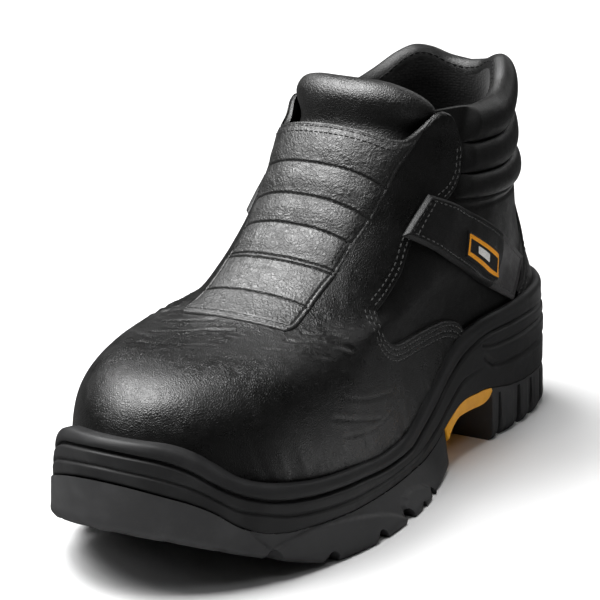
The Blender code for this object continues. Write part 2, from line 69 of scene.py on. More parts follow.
# Heights of the lines that run along the side of the sole.
# Station: top of the tread, ridge, groove under the rim, rim.
SIDE_LINES = {
    0: (18.6, 36.0, 44.5, 57.0),
    26: (18.4, 36.0, 45.5, 56.0),
    60: (19.5, 35.5, 46.5, 54.5),
    90: (24.4, 34.4, 46.0, 54.0),
    108: (24.0, 32.0, 41.0, 50.6),
    117: (20.3, 27.2, 36.2, 46.2),
    128: (14.6, 20.6, 28.6, 39.1),
    139: (11.4, 16.4, 23.4, 32.7),
    156: (11.0, 15.0, 19.0, 26.5),
    173: (11.5, 15.5, 19.5, 25.5),
    208: (14.0, 18.4, 23.8, 29.6),
    244: (17.0, 22.6, 27.9, 34.0),
    256: (18.1, 24.6, 29.9, 36.2),
    266: (20.3, 27.6, 32.5, 38.6),
    276: (25.2, 31.3, 36.9, 42.8),
    284: (32.0, 37.5, 42.6, 49.2),
    290: (36.1, 42.0, 47.7, 54.0),
    297: (39.9, 45.9, 52.1, 58.0),
    305: (44.4, 49.6, 55.4, 60.0),
}
TREAD_TOP, RIM = 0, 3

# Undersides of the three tread pieces and the seat of the upper: station, height.
HEEL_BOTTOM = {0: 8.0, 8: 4.0, 16: 0.0, 24: 0.0, 305: 0.0}
ARCH_BOTTOM = {
    0: 23.0, 79: 23.0, 81: 20.0, 84: 18.1, 88: 17.4, 98: 18.0,
    108: 18.2, 116: 15.6, 122: 12.6, 134: 8.0, 305: 8.0,
}
FOREFOOT_BOTTOM = {0: 0.0, 225: 0.0, 232: 0.4, 244: 3.0, 258: 7.5, 272: 12.5, 285: 17.5, 295: 21.5, 305: 25.0}
SEAT = {
    0: 30.0, 60: 31.0, 90: 31.4, 110: 29.5, 125: 25.5, 140: 22.0,
    165: 20.3, 200: 21.4, 240: 24.6, 265: 28.9, 285: 33.5, 305: 37.2,
}
TREAD_FLARE = {
    0: 0.0, 100: 0.0, 118: 1.0, 128: 4.0, 140: 7.0, 152: 8.0, 170: 9.0,
    190: 8.5, 204: 7.4, 218: 5.0, 232: 3.0, 245: 1.3, 262: 0.0, 305: 0.0,
}
HEEL_BREAST = 79.4
ARCH_FRONT = 122.0

# Rings of the lasted upper, sole to mouth: back y, front y, lateral and medial half widths,
# share of the foot outline in the plan shape, squareness of the oval's front,
# heights at back and front, drop along the sides.
UPPER_RINGS = {
    "feather": (141.0, -138.5, 46.5, 43.0, 1.00, 2.2, 30.0, 35.0, 10.0),
    "bite": (143.0, -140.0, 48.0, 44.5, 1.00, 2.2, 40.0, 45.8, 9.0),
    "rim": (144.5, -139.5, 48.0, 44.5, 1.00, 2.2, 50.8, 55.8, 6.0),
    "toe wall": (143.5, -134.5, 46.8, 43.8, 0.95, 2.2, 58.8, 66.5, 4.0),
    "toe roof": (142.0, -119.0, 44.5, 42.5, 0.80, 2.2, 64.9, 75.0, 2.0),
    "vamp": (140.5, -92.7, 43.0, 42.0, 0.60, 2.2, 69.9, 77.3, 0.0),
    "instep low": (139.0, -67.5, 42.0, 39.0, 0.40, 2.3, 76.0, 80.0, 0.0),
    "instep": (137.0, -45.5, 41.0, 38.0, 0.20, 2.6, 83.0, 88.0, 0.0),
    "throat": (134.8, -29.0, 40.0, 37.5, 0.10, 2.7, 92.1, 97.8, 0.0),
    "flap low": (133.6, -14.5, 38.2, 37.0, 0.00, 2.6, 103.2, 111.3, 0.0),
    "flap middle": (130.2, -1.5, 36.4, 35.6, 0.00, 2.6, 116.2, 127.0, 0.0),
    "flap high": (128.0, 11.0, 35.0, 35.0, 0.00, 2.6, 131.2, 142.2, 0.0),
    "collar": (127.3, 20.5, 34.0, 34.5, 0.00, 2.5, 146.2, 154.3, 0.0),
    "lip": (127.3, 27.5, 34.0, 34.5, 0.00, 2.4, 159.2, 164.6, 0.0),
}
LAST_RING = len(UPPER_RINGS) - 1
BACK_SQUARENESS = 2.2
WIDEST = (55.0, 51.0)

# Collar: angle round the shaft in degrees from the front, height of lower edge, height of rim.
COLLAR_EDGES = {
    48: (115.5, 147.2),
    55: (115.0, 147.0),
    72: (111.6, 146.0),
    90: (107.6, 144.0),
    105: (105.3, 144.0),
    118: (104.2, 147.0),
    131: (103.8, 152.0),
    143: (103.7, 154.4),
    154: (103.6, 153.2),
    167: (103.6, 150.0),
    180: (103.6, 148.5),
}
LOWER_EDGE, UPPER_EDGE = range(2)
# Valleys between the collar's rolls as shares of its height, and where it swells out behind the flap.
COLLAR_VALLEYS = (0.27, 0.60)
COLLAR_ROLL, VALLEY_OUT = 4.0, 0.3
COLLAR_START = 0.90
COLLAR_SWELL = (1.33, 1.47)

# Instep flap: angle off the centre line against the level of its top edge, level of its side edge
# against the angle there, and level of its lower seam at the centre and at the edge.
FLAP_ANGLE = 0.98
FLAP_TOP = {
    0.0: 11.05, 0.20: 11.0, 0.36: 10.92, 0.50: 10.82, 0.64: 10.79,
    0.79: 11.03, 0.92: 11.41, 1.0: 11.48, 1.07: 11.42,
}
FLAP_SIDE = {
    6.1: 0.98, 7.3: 0.98, 8.5: 1.0, 8.9: 1.08, 9.26: 1.26, 9.66: 1.34,
    10.25: 1.345, 10.79: 1.27, 11.2: 1.15, 11.42: 1.07,
}
FLAP_SEAM = (7.92, 6.1)
# Quilting seams: their levels on the centre line.
QUILT_SEAMS = (10.12, 9.43, 8.78)
# Upper edge of the vamp below the flap, as y and z along one side, and the front edge of the heel counter.
VAMP_EDGE = (
    (-22.6, 74.4), (-18.6, 68.6), (-9.1, 65.0), (4.7, 64.0),
    (25.8, 62.6), (38.3, 61.3), (49.0, 57.6), (54.0, 53.0),
)
COUNTER_EDGE = ((103.0, 57.5), (109.0, 60.0), (114.0, 63.0), (121.0, 70.0), (127.0, 82.0), (129.5, 100.0))

# Straps: y and z of the corners, and the lift of the end that lies on the flap.
STRAP_CORNERS = {
    "front low": (4.0, 103.0), "front high": (23.0, 116.5),
    "rear low": (97.5, 54.5), "rear high": (114.5, 69.0),
}
STRAP_LENGTH, STRAP_WIDTH, STRAP_EDGE, STRAP_MESH = 112.0, 21.0, 1.5, (0.95, 0.62)
STRAP_LIFT = 3.0
STRAP_THICK = 2.3
STRAP_BOW = 3.0
# Where the upper layer of the strap stops: share along it at its lower edge, then terms across it.
STRAP_LAYER_END = (0.776, 0.082, -0.228)
MEDIAL_STRAP_SLACK = 0.4
# Stitch rows as shares across the strap and along it; unevenness of each side's strap: size, height, seed.
STRAP_ROWS = (0.115, 0.885)
STRAP_END_ROWS = (0.022, 0.045)
STRAP_LUMPS = {1: ((17.0, 0.35, 82), (6.0, 0.12, 83)), -1: ((17.0, 0.35, 80), (6.0, 0.12, 83))}
# Label: shares of the strap that it spans, and how far its ends slant.
LABEL_ALONG = (0.345, 0.695)
LABEL_ACROSS = (0.19, 0.635)
LABEL_SLANT = 0.25
LABEL_SPREAD = 0.7
LABEL_LENGTH, LABEL_WIDTH, LABEL_MESH = 39.0, 9.4, (150, 60)
LABEL_BORDER = (0.9, 2.4)

# Tongue: height on the centre line, half angle, drop of the side edges in levels,
# distance out of its face, thickness.
TONGUE_ROWS = (
    (103.0, 0.62, 0.0, -2.7, 3.0),
    (115.0, 0.72, 0.0, -2.7, 3.5),
    (128.0, 0.80, 0.1, -2.7, 4.5),
    (138.0, 0.88, 0.2, -2.8, 5.5),
    (143.5, 0.98, 0.3, -3.4, 5.4),
    (147.5, 1.04, 0.45, -1.2, 7.5),
    (152.0, 1.05, 0.6, 2.3, 10.8),
    (156.5, 1.03, 0.75, 2.2, 11.0),
    (159.5, 0.98, 0.85, 0.0, 9.0),
    (161.3, 0.90, 0.9, -3.4, 4.5),
)
# Share of that drop on the medial side, where its top stays level, and how far it reaches there.
TONGUE_MEDIAL_DROP = 0.75
TONGUE_MEDIAL_REACH = 1.12
TONGUE_MESH = (90, 112)
TONGUE_LUMPS = ((12.0, 0.3, 61),)


def hermite(u, start, end, start_slope, end_slope):
    """Cubic from a start to an end with given slopes; u runs from 0 to 1."""
    first = (1 + 2 * u) * (1 - u) ** 2 * start + u * (1 - u) ** 2 * start_slope
    last = u * u * (3 - 2 * u) * end - u * u * (1 - u) * end_slope
    return first + last


def smooth(x, table_x, table_y):
    """Cubic interpolation of a table; table_y may hold several columns."""
    xs = np.asarray(table_x, float)
    ys = np.asarray(table_y, float)
    slopes = np.gradient(ys, xs, axis=0)
    rises = np.diff(ys, axis=0)
    slopes[1:-1] = np.where(rises[:-1] * rises[1:] <= 0, 0, slopes[1:-1])
    x = np.clip(np.asarray(x, float), xs[0], xs[-1])
    i = np.clip(np.searchsorted(xs, x) - 1, 0, len(xs) - 2)
    step = xs[i + 1] - xs[i]
    u = (x - xs[i]) / step
    if ys.ndim > 1:
        u = u[..., None]
        step = step[..., None]
    return hermite(u, ys[i], ys[i + 1], step * slopes[i], step * slopes[i + 1])


def blend(x, low, high):
    """Soft step from 0 at low to 1 at high."""
    u = np.clip((x - low) / (high - low), 0, 1)
    return u * u * (3 - 2 * u)


def bell(x, centre, width):
    return np.exp(-((x - centre) / width) ** 2)


def between(start, end, shares):
    """Rows of values or points that run from start to end."""
    return start[:, None] + (end - start)[:, None] * shares


def unit(vectors):
    return vectors / np.linalg.norm(vectors, axis=-1, keepdims=True)


def raised(base, normal, out):
    return base + out[..., None] * normal


def table_columns(table):
    return list(table), np.array([np.atleast_1d(row) for row in table.values()])


def table_value(table, place, column=0):
    places, values = table_columns(table)
    return smooth(place, places, values[:, column])


def wrap(angle):
    return (angle + math.pi) % (2 * math.pi) - math.pi


def off_front(angle):
    return np.abs(wrap(angle))


def spline_slopes(rows):
    """Slopes that let a cubic through evenly spaced rows bend without a break."""
    count = len(rows)
    system = 4 * np.eye(count) + np.eye(count, k=1) + np.eye(count, k=-1)
    system[0, 0] = system[-1, -1] = 2
    pull = 6 * np.gradient(rows, axis=0)
    pull[[0, -1]] /= 2
    return np.tensordot(np.linalg.inv(system), pull, 1)


def spline(controls, x):
    """Smooth curve through evenly spaced controls, read at x from 0 to 1."""
    rows = np.asarray(controls, float)
    slopes = spline_slopes(rows)
    place = np.clip(np.asarray(x, float), 0, 1) * (len(rows) - 1)
    i = np.clip(place.astype(int), 0, len(rows) - 2)
    u = (place - i)[..., None]
    return hermite(u, rows[i], rows[i + 1], slopes[i], slopes[i + 1])


def foot_half_width(angle):
    """Half width of the sole outline; angle 0 is the toe, pi the heel, negative the medial side."""
    stations, widths = table_columns(OUTLINE)
    turn = np.arccos(np.clip((np.array(stations) - HALF_LENGTH) / HALF_LENGTH, -1, 1))[::-1]
    both = smooth(np.abs(angle), turn, widths[::-1])
    return np.where(angle >= 0, both[..., 0], both[..., 1])


def sole_point(angle, inset):
    """Point of the sole outline in plan, moved in by an inset along the outline's normal."""
    def outline(a):
        wrapped = wrap(a)
        x = np.where(wrapped >= 0, 1, -1) * foot_half_width(wrapped)
        return np.stack([x, -HALF_LENGTH * np.cos(wrapped)], -1)

    run = unit(outline(angle + TINY_TURN) - outline(angle - TINY_TURN))
    outward = np.stack([run[..., 1], -run[..., 0]], -1)
    return outline(angle) - np.asarray(inset)[..., None] * outward


def rim_station(angle):
    return HALF_LENGTH * (1 + np.cos(angle))


def upper_base(angle, level):
    """Point of the lasted surface; level counts the rings of the table from the sole up."""
    angle, level = np.broadcast_arrays(np.asarray(angle, float), np.asarray(level, float))
    wrapped = wrap(angle)
    rings = np.array(list(UPPER_RINGS.values())).T.reshape((9, -1) + (1,) * angle.ndim)
    back, front, lateral, medial, foot, nose, z_back, z_front, drop = rings
    share = (1 + np.cos(wrapped)) / 2
    is_lateral = wrapped >= 0
    half = np.where(is_lateral, lateral, medial)
    square = np.where(np.cos(wrapped) > 0, nose, BACK_SQUARENESS)
    oval = (1 - np.abs(np.cos(wrapped)) ** square) ** (1 / square)
    plan = foot * foot_half_width(wrapped) / np.where(is_lateral, *WIDEST) + (1 - foot) * oval
    x = np.where(is_lateral, 1, -1) * half * plan
    y = back + (front - back) * share
    z = z_back + (z_front - z_back) * share - drop * np.sin(wrapped) ** 2
    z[0] = table_value(SEAT, HALF_LENGTH - y[0])
    points = np.stack([x, y, z], -1)

    level = np.clip(level, 0, LAST_RING)
    i = np.clip(level.astype(int), 0, LAST_RING - 1)
    u = (level - i)[..., None]
    slopes = spline_slopes(points)
    pick = np.indices(i.shape)
    under, over = (i, *pick), (i + 1, *pick)
    return hermite(u, points[under], points[over], slopes[under], slopes[over])


def upper_normal(angle, level):
    along = upper_base(angle + TINY_TURN, level) - upper_base(angle - TINY_TURN, level)
    level = np.clip(level, TINY_TURN, LAST_RING - TINY_TURN)
    rising = upper_base(angle, level + TINY_TURN) - upper_base(angle, level - TINY_TURN)
    return unit(np.cross(along, rising))


def on_last(angle, level):
    return upper_base(angle, level), upper_normal(angle, level)


def upper_point(angle, level, out=0.0):
    """Point at a distance out from the lasted surface."""
    angle, level, out = np.broadcast_arrays(np.asarray(angle, float), np.asarray(level, float), out)
    return raised(*on_last(angle, level), out)


def level_at_height(angle, z):
    """Level of the lasted surface where it reaches a height."""
    angle, z = np.broadcast_arrays(np.asarray(angle, float), np.asarray(z, float))
    levels = np.linspace(0, LAST_RING, 24 * LAST_RING + 1)
    turns, where = np.unique(angle, return_inverse=True)
    heights = upper_base(turns[:, None], levels)[..., 2]
    found = np.empty(z.size)
    flat_z, where = z.ravel(), where.ravel()
    for k in range(len(turns)):
        mine = where == k
        found[mine] = np.interp(flat_z[mine], heights[k], levels)
    return found.reshape(z.shape)


def surface_at(y, z, side=1):
    """Angle and level of the place on one side that has this y and z."""
    angles, levels = np.meshgrid(np.linspace(0.02, math.pi - 0.02, 90), np.linspace(0, LAST_RING, 130))
    coarse = upper_base(side * angles, levels)
    y, z = np.broadcast_arrays(np.asarray(y, float), np.asarray(z, float))
    gap = (coarse[..., 1] - y.reshape(-1, 1, 1)) ** 2 + (coarse[..., 2] - z.reshape(-1, 1, 1)) ** 2
    near = gap.reshape(y.size, -1).argmin(1)
    a, t = side * angles.ravel()[near], levels.ravel()[near]
    target = np.stack([y.ravel(), z.ravel()], -1)
    for _ in range(8):
        here = upper_base(a, t)[:, 1:]
        by_angle = (upper_base(a + 1e-4, t)[:, 1:] - here) / 1e-4
        by_level = (upper_base(a, t + 1e-4)[:, 1:] - here) / 1e-4
        change = np.linalg.solve(np.stack([by_angle, by_level], -1), (target - here)[..., None])[..., 0]
        a, t = a + change[:, 0], t + change[:, 1]
    return a.reshape(y.shape), t.reshape(y.shape)


LATTICE_PRIMES = np.array([73856093, 19349663, 83492791])
SEED_STEP, SEED_SHIFT, HASH_FACTOR = 977, 37.7, 1274126177


def lumps(points, size, seed):
    """Smooth lattice noise from -1 to 1, with lumps of a given size."""
    place = np.asarray(points, float) / size + SEED_SHIFT * seed
    cell = np.floor(place).astype(np.int64)
    part = place - cell
    part = part * part * (3 - 2 * part)
    total = np.zeros(place.shape[:-1])
    for corner in np.ndindex(*(2,) * place.shape[-1]):
        weight = np.prod(np.where(corner, part, 1 - part), axis=-1)
        key = ((cell + corner) * LATTICE_PRIMES[:place.shape[-1]]).sum(-1) + SEED_STEP * seed
        key = (key ^ (key >> 13)) * HASH_FACTOR & 0xFFFFFFFF
        key = (key ^ (key >> 16)) & 0xFFFF
        total += weight * (key / 32767.5 - 1)
    return total


def creased(points, size, seed):
    """Noise with narrow valleys, like the folds of worn leather."""
    return np.abs(lumps(points, size, seed)) + 0.5 * np.abs(lumps(points, size / 2, seed + 1)) - 0.5


def uneven(points, rows, kind=lumps):
    """Noise of several sizes; each row holds a size and a height in mm and a seed."""
    return sum(height * kind(points, size, seed) for size, height, seed in rows)


FAR = 1e9
LINE_BATCH = 40


def distance_to(points, line):
    """Distance of every point from a line given by close points."""
    flat = np.asarray(points).reshape(-1, np.shape(points)[-1])
    nearest, place = np.full(len(flat), FAR), np.zeros(len(flat), int)
    for start in range(0, len(line), LINE_BATCH):
        gap = ((flat[:, None, :] - line[None, start:start + LINE_BATCH]) ** 2).sum(-1)
        pick = gap.argmin(1)
        gap = gap[np.arange(len(flat)), pick]
        place = np.where(gap < nearest, start + pick, place)
        nearest = np.minimum(nearest, gap)
    nearest = np.sqrt(nearest)
    for step in (-1, 1):
        begin = line[place]
        along = line[np.clip(place + step, 0, len(line) - 1)] - begin
        share = ((flat - begin) * along).sum(-1) / np.maximum((along ** 2).sum(-1), 1e-9)
        foot = begin + np.clip(share, 0, 1)[:, None] * along
        nearest = np.minimum(nearest, np.linalg.norm(flat - foot, axis=-1))
    return nearest.reshape(np.shape(points)[:-1])


def groove(distance, depth, width):
    return -depth * bell(distance, 0.0, width)


def add(tree, kind, inputs=None, **settings):
    """New shader node with its settings, and its inputs set or linked."""
    node = tree.nodes.new("ShaderNode" + kind)
    for key, value in settings.items():
        setattr(node, key, value)
    for key, value in (inputs or {}).items():
        if isinstance(value, bpy.types.NodeSocket):
            tree.links.new(value, node.inputs[key])
        else:
            node.inputs[key].default_value = value
    return node


def wire(tree, sockets, **sources):
    """Links into named sockets; an underscore stands for a space."""
    for label, source in sources.items():
        tree.links.new(source, sockets[label.replace("_", " ")])


def noise(tree, place, scale, detail, roughness=0.5, distortion=0.0):
    sockets = {"Vector": place, "Scale": scale, "Detail": detail}
    return add(tree, "TexNoise", sockets | {"Roughness": roughness, "Distortion": distortion}).outputs


def vector_calc(tree, operation, a, b):
    return add(tree, "VectorMath", {0: a, 1: b}, operation=operation).outputs[0]


def calc(tree, operation, a, b=0.0, clamp=False):
    return add(tree, "Math", {0: a, 1: b}, operation=operation, use_clamp=clamp).outputs[0]


def ramp(tree, value, low, high, to_low=0.0, to_high=1.0):
    sockets = {"Value": value, "From Min": low, "From Max": high, "To Min": to_low, "To Max": to_high}
    return add(tree, "MapRange", sockets, interpolation_type="SMOOTHSTEP").outputs["Result"]


def mix_colour(tree, share, a, b):
    return add(tree, "Mix", {0: share, 6: a, 7: b}, data_type="RGBA").outputs[2]


def rgba(tone, gain=1.0, lift=0.0):
    return tuple(gain * part + lift for part in tone) + (1.0,)


def off_half(tree, value):
    """Distance of a noise value from its middle, which draws it as thin lines."""
    return calc(tree, "ABSOLUTE", calc(tree, "SUBTRACT", value, 0.5))


def effect(name, inputs, outputs):
    """Empty node group with named number sockets; returns its tree, its inputs and its output node."""
    tree = bpy.data.node_groups.new(name, "ShaderNodeTree")
    for label, value in inputs.items():
        tree.interface.new_socket(label, in_out="INPUT", socket_type="NodeSocketFloat").default_value = value
    for label in outputs:
        tree.interface.new_socket(label, in_out="OUTPUT", socket_type="NodeSocketFloat")
    given = tree.nodes.new("NodeGroupInput").outputs
    result = tree.nodes.new("NodeGroupOutput").inputs
    return tree, given, result


# Leather: how far its grain wanders in metres, and the finest and the widest marks in it.
GRAIN_DRIFT, PORES_PER_M, MOTTLE_PER_M = 0.003, 5200.0, 55.0
# Scratches: turn and stretch of each set, then the size of the rubbed spots that show them.
SCRATCH_SETS = (((0.3, 0.9, 0.4), (1.0, 9.0, 3.0)), ((1.2, 0.2, 2.0), (8.0, 1.0, 4.0)))
RUBS_PER_M = 38.0
# Patches of bloom on rubber, and changes of tone along threads.
BLOOM_PER_M, THREAD_TONES_PER_M = 70.0, 1400.0


def leather_grain():
    """Pebbles and folds of tumbled hide, and the soft mottling of its finish."""
    tree, given, result = effect(
        "leather grain",
        {"Pebbles per m": 800.0, "Folds per m": 160.0, "Fold share": 0.4},
        ("Height", "Pits", "Mottle"))
    place = add(tree, "TexCoord").outputs["Object"]
    drift = noise(tree, place, given["Folds per m"], 2.0)["Color"]
    drift = vector_calc(tree, "SUBTRACT", drift, (0.5, 0.5, 0.5))
    drift = add(tree, "VectorMath", {0: drift, "Scale": GRAIN_DRIFT}, operation="SCALE").outputs[0]
    bent = vector_calc(tree, "ADD", place, drift)
    cells = {"Vector": bent, "Scale": given["Pebbles per m"]}
    cells = add(tree, "TexVoronoi", cells, feature="DISTANCE_TO_EDGE").outputs["Distance"]
    pebble = ramp(tree, cells, 0.0, 0.32)
    fold_noise = noise(tree, bent, given["Folds per m"], 5.0, 0.6, 0.8)["Fac"]
    fold = ramp(tree, off_half(tree, fold_noise), 0.0, 0.07)
    pores = noise(tree, place, PORES_PER_M, 1.0)["Fac"]
    folds = calc(tree, "MULTIPLY", fold, given["Fold share"])
    pebbles = calc(tree, "MULTIPLY", pebble, calc(tree, "SUBTRACT", 1.0, given["Fold share"]))
    height = calc(tree, "ADD", calc(tree, "ADD", folds, pebbles), calc(tree, "MULTIPLY", pores, 0.12))
    mottle = ramp(tree, noise(tree, place, MOTTLE_PER_M, 4.0, 0.65)["Fac"], 0.32, 0.68)
    pits = calc(tree, "SUBTRACT", 1.0, calc(tree, "MULTIPLY", fold, pebble))
    wire(tree, result, Height=height, Pits=pits, Mottle=mottle)
    return tree


def hairline_scuffs():
    """Sparse fine scratches that show in rubbed spots."""
    tree, given, result = effect("hairline scuffs", {"Lines per m": 45.0, "Amount": 0.5}, ("Mask",))
    place = add(tree, "TexCoord").outputs["Object"]
    masks = []
    for turn, stretch in SCRATCH_SETS:
        turned = add(tree, "Mapping", {"Vector": place, "Rotation": turn, "Scale": stretch}).outputs[0]
        lines = off_half(tree, noise(tree, turned, given["Lines per m"], 2.0)["Fac"])
        masks.append(ramp(tree, lines, 0.0, 0.012, 1.0, 0.0))
    spots = ramp(tree, noise(tree, place, RUBS_PER_M, 5.0, 0.7)["Fac"], 0.5, 0.72)
    broken = calc(tree, "MULTIPLY", calc(tree, "MAXIMUM", *masks), spots)
    wire(tree, result, Mask=calc(tree, "MULTIPLY", broken, given["Amount"], clamp=True))
    return tree


def moulded_skin():
    """Fine matt texture of moulded rubber, with a pale bloom in patches."""
    tree, given, result = effect("moulded skin", {"Grain per m": 2600.0}, ("Height", "Bloom"))
    place = add(tree, "TexCoord").outputs["Object"]
    fine = noise(tree, place, given["Grain per m"], 3.0, 0.6)["Fac"]
    wide = noise(tree, place, BLOOM_PER_M, 5.0, 0.7)["Fac"]
    wire(tree, result, Height=fine, Bloom=ramp(tree, wide, 0.38, 0.7))
    return tree


def woven_threads():
    """Crossing threads of a lining or a label."""
    tree, given, result = effect("woven threads", {"Threads per m": 900.0}, ("Height", "Thread tone"))
    place = add(tree, "TexCoord").outputs["Object"]
    knots = add(tree, "TexVoronoi", {"Vector": place, "Scale": given["Threads per m"], "Randomness": 0.55})
    height = ramp(tree, knots.outputs["Distance"], 0.1, 0.75, 1.0, 0.0)
    wire(tree, result, Height=height, Thread_tone=noise(tree, place, THREAD_TONES_PER_M, 2.0)["Fac"])
    return tree


GRAIN = leather_grain()
SCUFFS = hairline_scuffs()
MOULDED = moulded_skin()
WOVEN = woven_threads()


def place_group(tree, group, **values):
    node = tree.nodes.new("ShaderNodeGroup")
    node.node_tree = group
    for label, value in values.items():
        node.inputs[label.replace("_", " ")].default_value = value
    return node.outputs


def new_material(name):
    made = bpy.data.materials.new(name)
    made.use_nodes = True
    tree = made.node_tree
    return made, tree, tree.nodes["Principled BSDF"].inputs


def bump(tree, height, strength, relief):
    """Normal from a height; the relief is in mm."""
    sockets = {"Height": height, "Strength": strength, "Distance": relief * MM}
    return add(tree, "Bump", sockets).outputs["Normal"]


# Leather: share and tone of the painted shade in its pits, gain and lift of a scuff's tone, roughness that
# both add.
PIT_SHADE, PIT_TONE, SCUFF_TONE = 0.7, 0.55, (2.6, 0.006)
PIT_ROUGHNESS, SCUFF_ROUGHNESS, COAT_ROUGHNESS = 0.12, 0.15, 0.28
# Rubber: share, gain and lift of its bloom, gain of the tone in a scuff, bump strength and relief in mm.
BLOOM_SHARE, BLOOM_TONE, RUBBED_TONE, RUBBER_BUMP = 0.6, (1.35, 0.004), 2.2, (0.5, 0.06)
RUBBER_SHINE, CLOTH_SHINE, CLOTH_BUMP, PLASTIC_BUMP = 0.32, 0.25, 0.8, (0.4, 0.08)


def leather(name, tone, gloss, pebbles, folds, fold_share, relief, coat=0.0, scuff=0.3, shine=0.6):
    """Black finished leather: tone of the hide, roughness low and high, grain sizes, bump relief in mm."""
    made, tree, sockets = new_material(name)
    grain = place_group(tree, GRAIN, Pebbles_per_m=pebbles, Folds_per_m=folds, Fold_share=fold_share)
    wear = place_group(tree, SCUFFS, Lines_per_m=45.0, Amount=scuff)
    # Pits and folds painted darker: painted shade.
    painted_pit_shade = calc(tree, "MULTIPLY", grain["Pits"], PIT_SHADE)
    colour = mix_colour(tree, painted_pit_shade, rgba(tone), rgba(tone, PIT_TONE))
    colour = mix_colour(tree, wear["Mask"], colour, rgba(tone, *SCUFF_TONE))
    rough = ramp(tree, grain["Mottle"], 0.0, 1.0, *gloss)
    for mask, more in ((grain["Pits"], PIT_ROUGHNESS), (wear["Mask"], SCUFF_ROUGHNESS)):
        rough = calc(tree, "ADD", rough, calc(tree, "MULTIPLY", mask, more))
    wire(tree, sockets, Base_Color=colour, Roughness=rough, Normal=bump(tree, grain["Height"], 1.0, relief))
    sockets["Specular IOR Level"].default_value = shine
    sockets["Coat Weight"].default_value = coat
    sockets["Coat Roughness"].default_value = COAT_ROUGHNESS
    return made


def rubber(name, tone, gloss):
    made, tree, sockets = new_material(name)
    skin = place_group(tree, MOULDED, Grain_per_m=2600.0)
    wear = place_group(tree, SCUFFS, Lines_per_m=60.0, Amount=0.35)
    bloom = calc(tree, "MULTIPLY", skin["Bloom"], BLOOM_SHARE)
    colour = mix_colour(tree, bloom, rgba(tone), rgba(tone, *BLOOM_TONE))
    colour = mix_colour(tree, wear["Mask"], colour, rgba(tone, RUBBED_TONE))
    rough = ramp(tree, skin["Bloom"], 0.0, 1.0, *gloss)
    wire(tree, sockets, Base_Color=colour, Roughness=rough, Normal=bump(tree, skin["Height"], *RUBBER_BUMP))
    sockets["Specular IOR Level"].default_value = RUBBER_SHINE
    return made


def cloth(name, tone, pale, threads, relief, sheen=0.3):
    made, tree, sockets = new_material(name)
    weave = place_group(tree, WOVEN, Threads_per_m=threads)
    # Raised knots painted paler than the gaps, painted shade between them, times a random thread tone.
    painted_knot_shade_and_tone = calc(tree, "MULTIPLY", weave["Height"], weave["Thread tone"])
    colour = mix_colour(tree, painted_knot_shade_and_tone, rgba(tone), rgba(pale))
    rough = ramp(tree, weave["Thread tone"], 0.3, 0.7, 0.75, 0.95)
    normal = bump(tree, weave["Height"], CLOTH_BUMP, relief)
    wire(tree, sockets, Base_Color=colour, Roughness=rough, Normal=normal)
    sockets["Sheen Weight"].default_value = sheen
    sockets["Specular IOR Level"].default_value = CLOTH_SHINE
    return made


def bright_plastic(name, tone, deep):
    made, tree, sockets = new_material(name)
    skin = place_group(tree, MOULDED, Grain_per_m=1800.0)
    colour = mix_colour(tree, skin["Bloom"], rgba(tone), rgba(deep))
    rough = ramp(tree, skin["Height"], 0.3, 0.7, 0.38, 0.55)
    wire(tree, sockets, Base_Color=colour, Roughness=rough, Normal=bump(tree, skin["Height"], *PLASTIC_BUMP))
    return made


BLACK = (0.0050, 0.0050, 0.0048)
LOOKS = {
    "vamp": leather("vamp leather", BLACK, (0.21, 0.32), 1150.0, 150.0, 0.22, 0.09, 0.12, 0.8),
    "quilt": leather("tumbled flap leather", (0.013, 0.013, 0.0125), (0.33, 0.44), 640.0, 240.0, 0.45, 0.14,
                     shine=1.0),
    "smooth": leather("smooth leather", BLACK, (0.28, 0.40), 1300.0, 120.0, 0.15, 0.06, shine=0.45),
    "collar": leather("collar leather", BLACK, (0.30, 0.42), 1300.0, 140.0, 0.2, 0.06, shine=0.55),
    "strap": leather("strap leather", (0.0062, 0.0062, 0.0064), (0.38, 0.50), 1250.0, 120.0, 0.2, 0.07),
    # The strap past its upper layer gets a lighter copy of the strap leather: painted light on the strap's
    # rear end.
    "lit strap end": leather("lit strap end leather", (0.046, 0.0435, 0.045), (0.30, 0.42), 1250.0, 120.0, 0.2, 0.06,
                         shine=0.9),
    "tongue": leather("tongue leather", (0.0065, 0.0064, 0.006), (0.30, 0.42), 900.0, 200.0, 0.2, 0.10,
                      shine=0.9),
    "sole": rubber("moulded sole rubber", (0.018, 0.018, 0.0185), (0.48, 0.62)),
    "tread": rubber("tread rubber", (0.038, 0.038, 0.039), (0.48, 0.62)),
    "lining": cloth("lining cloth", (0.006, 0.006, 0.006), (0.018, 0.0175, 0.017), 900.0, 0.14, 0.12),
    "insole": cloth("insole cloth", (0.008, 0.008, 0.008), (0.024, 0.024, 0.024), 700.0, 0.2, 0.15),
    "label": cloth("label cloth", (0.005, 0.005, 0.0052), (0.016, 0.016, 0.0165), 1500.0, 0.15, 0.03),
    "orange": cloth("orange thread", (0.62, 0.23, 0.004), (0.98, 0.43, 0.012), 1500.0, 0.2, 0.0),
    "pale": cloth("pale thread", (0.5, 0.49, 0.47), (0.85, 0.84, 0.82), 1500.0, 0.2),
    "thread": cloth("black thread", (0.004, 0.004, 0.004), (0.02, 0.02, 0.02), 2500.0, 0.1, 0.1),
    # Lighter grey thread for stitches on the straps, counter, scoop and flap edge: painted glints.
    "grey thread for painted glints": cloth("grey thread for painted glints", (0.03, 0.03, 0.03), (0.16, 0.16, 0.155), 2500.0, 0.1, 0.1),
    "insert": bright_plastic("arch plastic", (0.92, 0.42, 0.018), (0.80, 0.32, 0.012)),
}


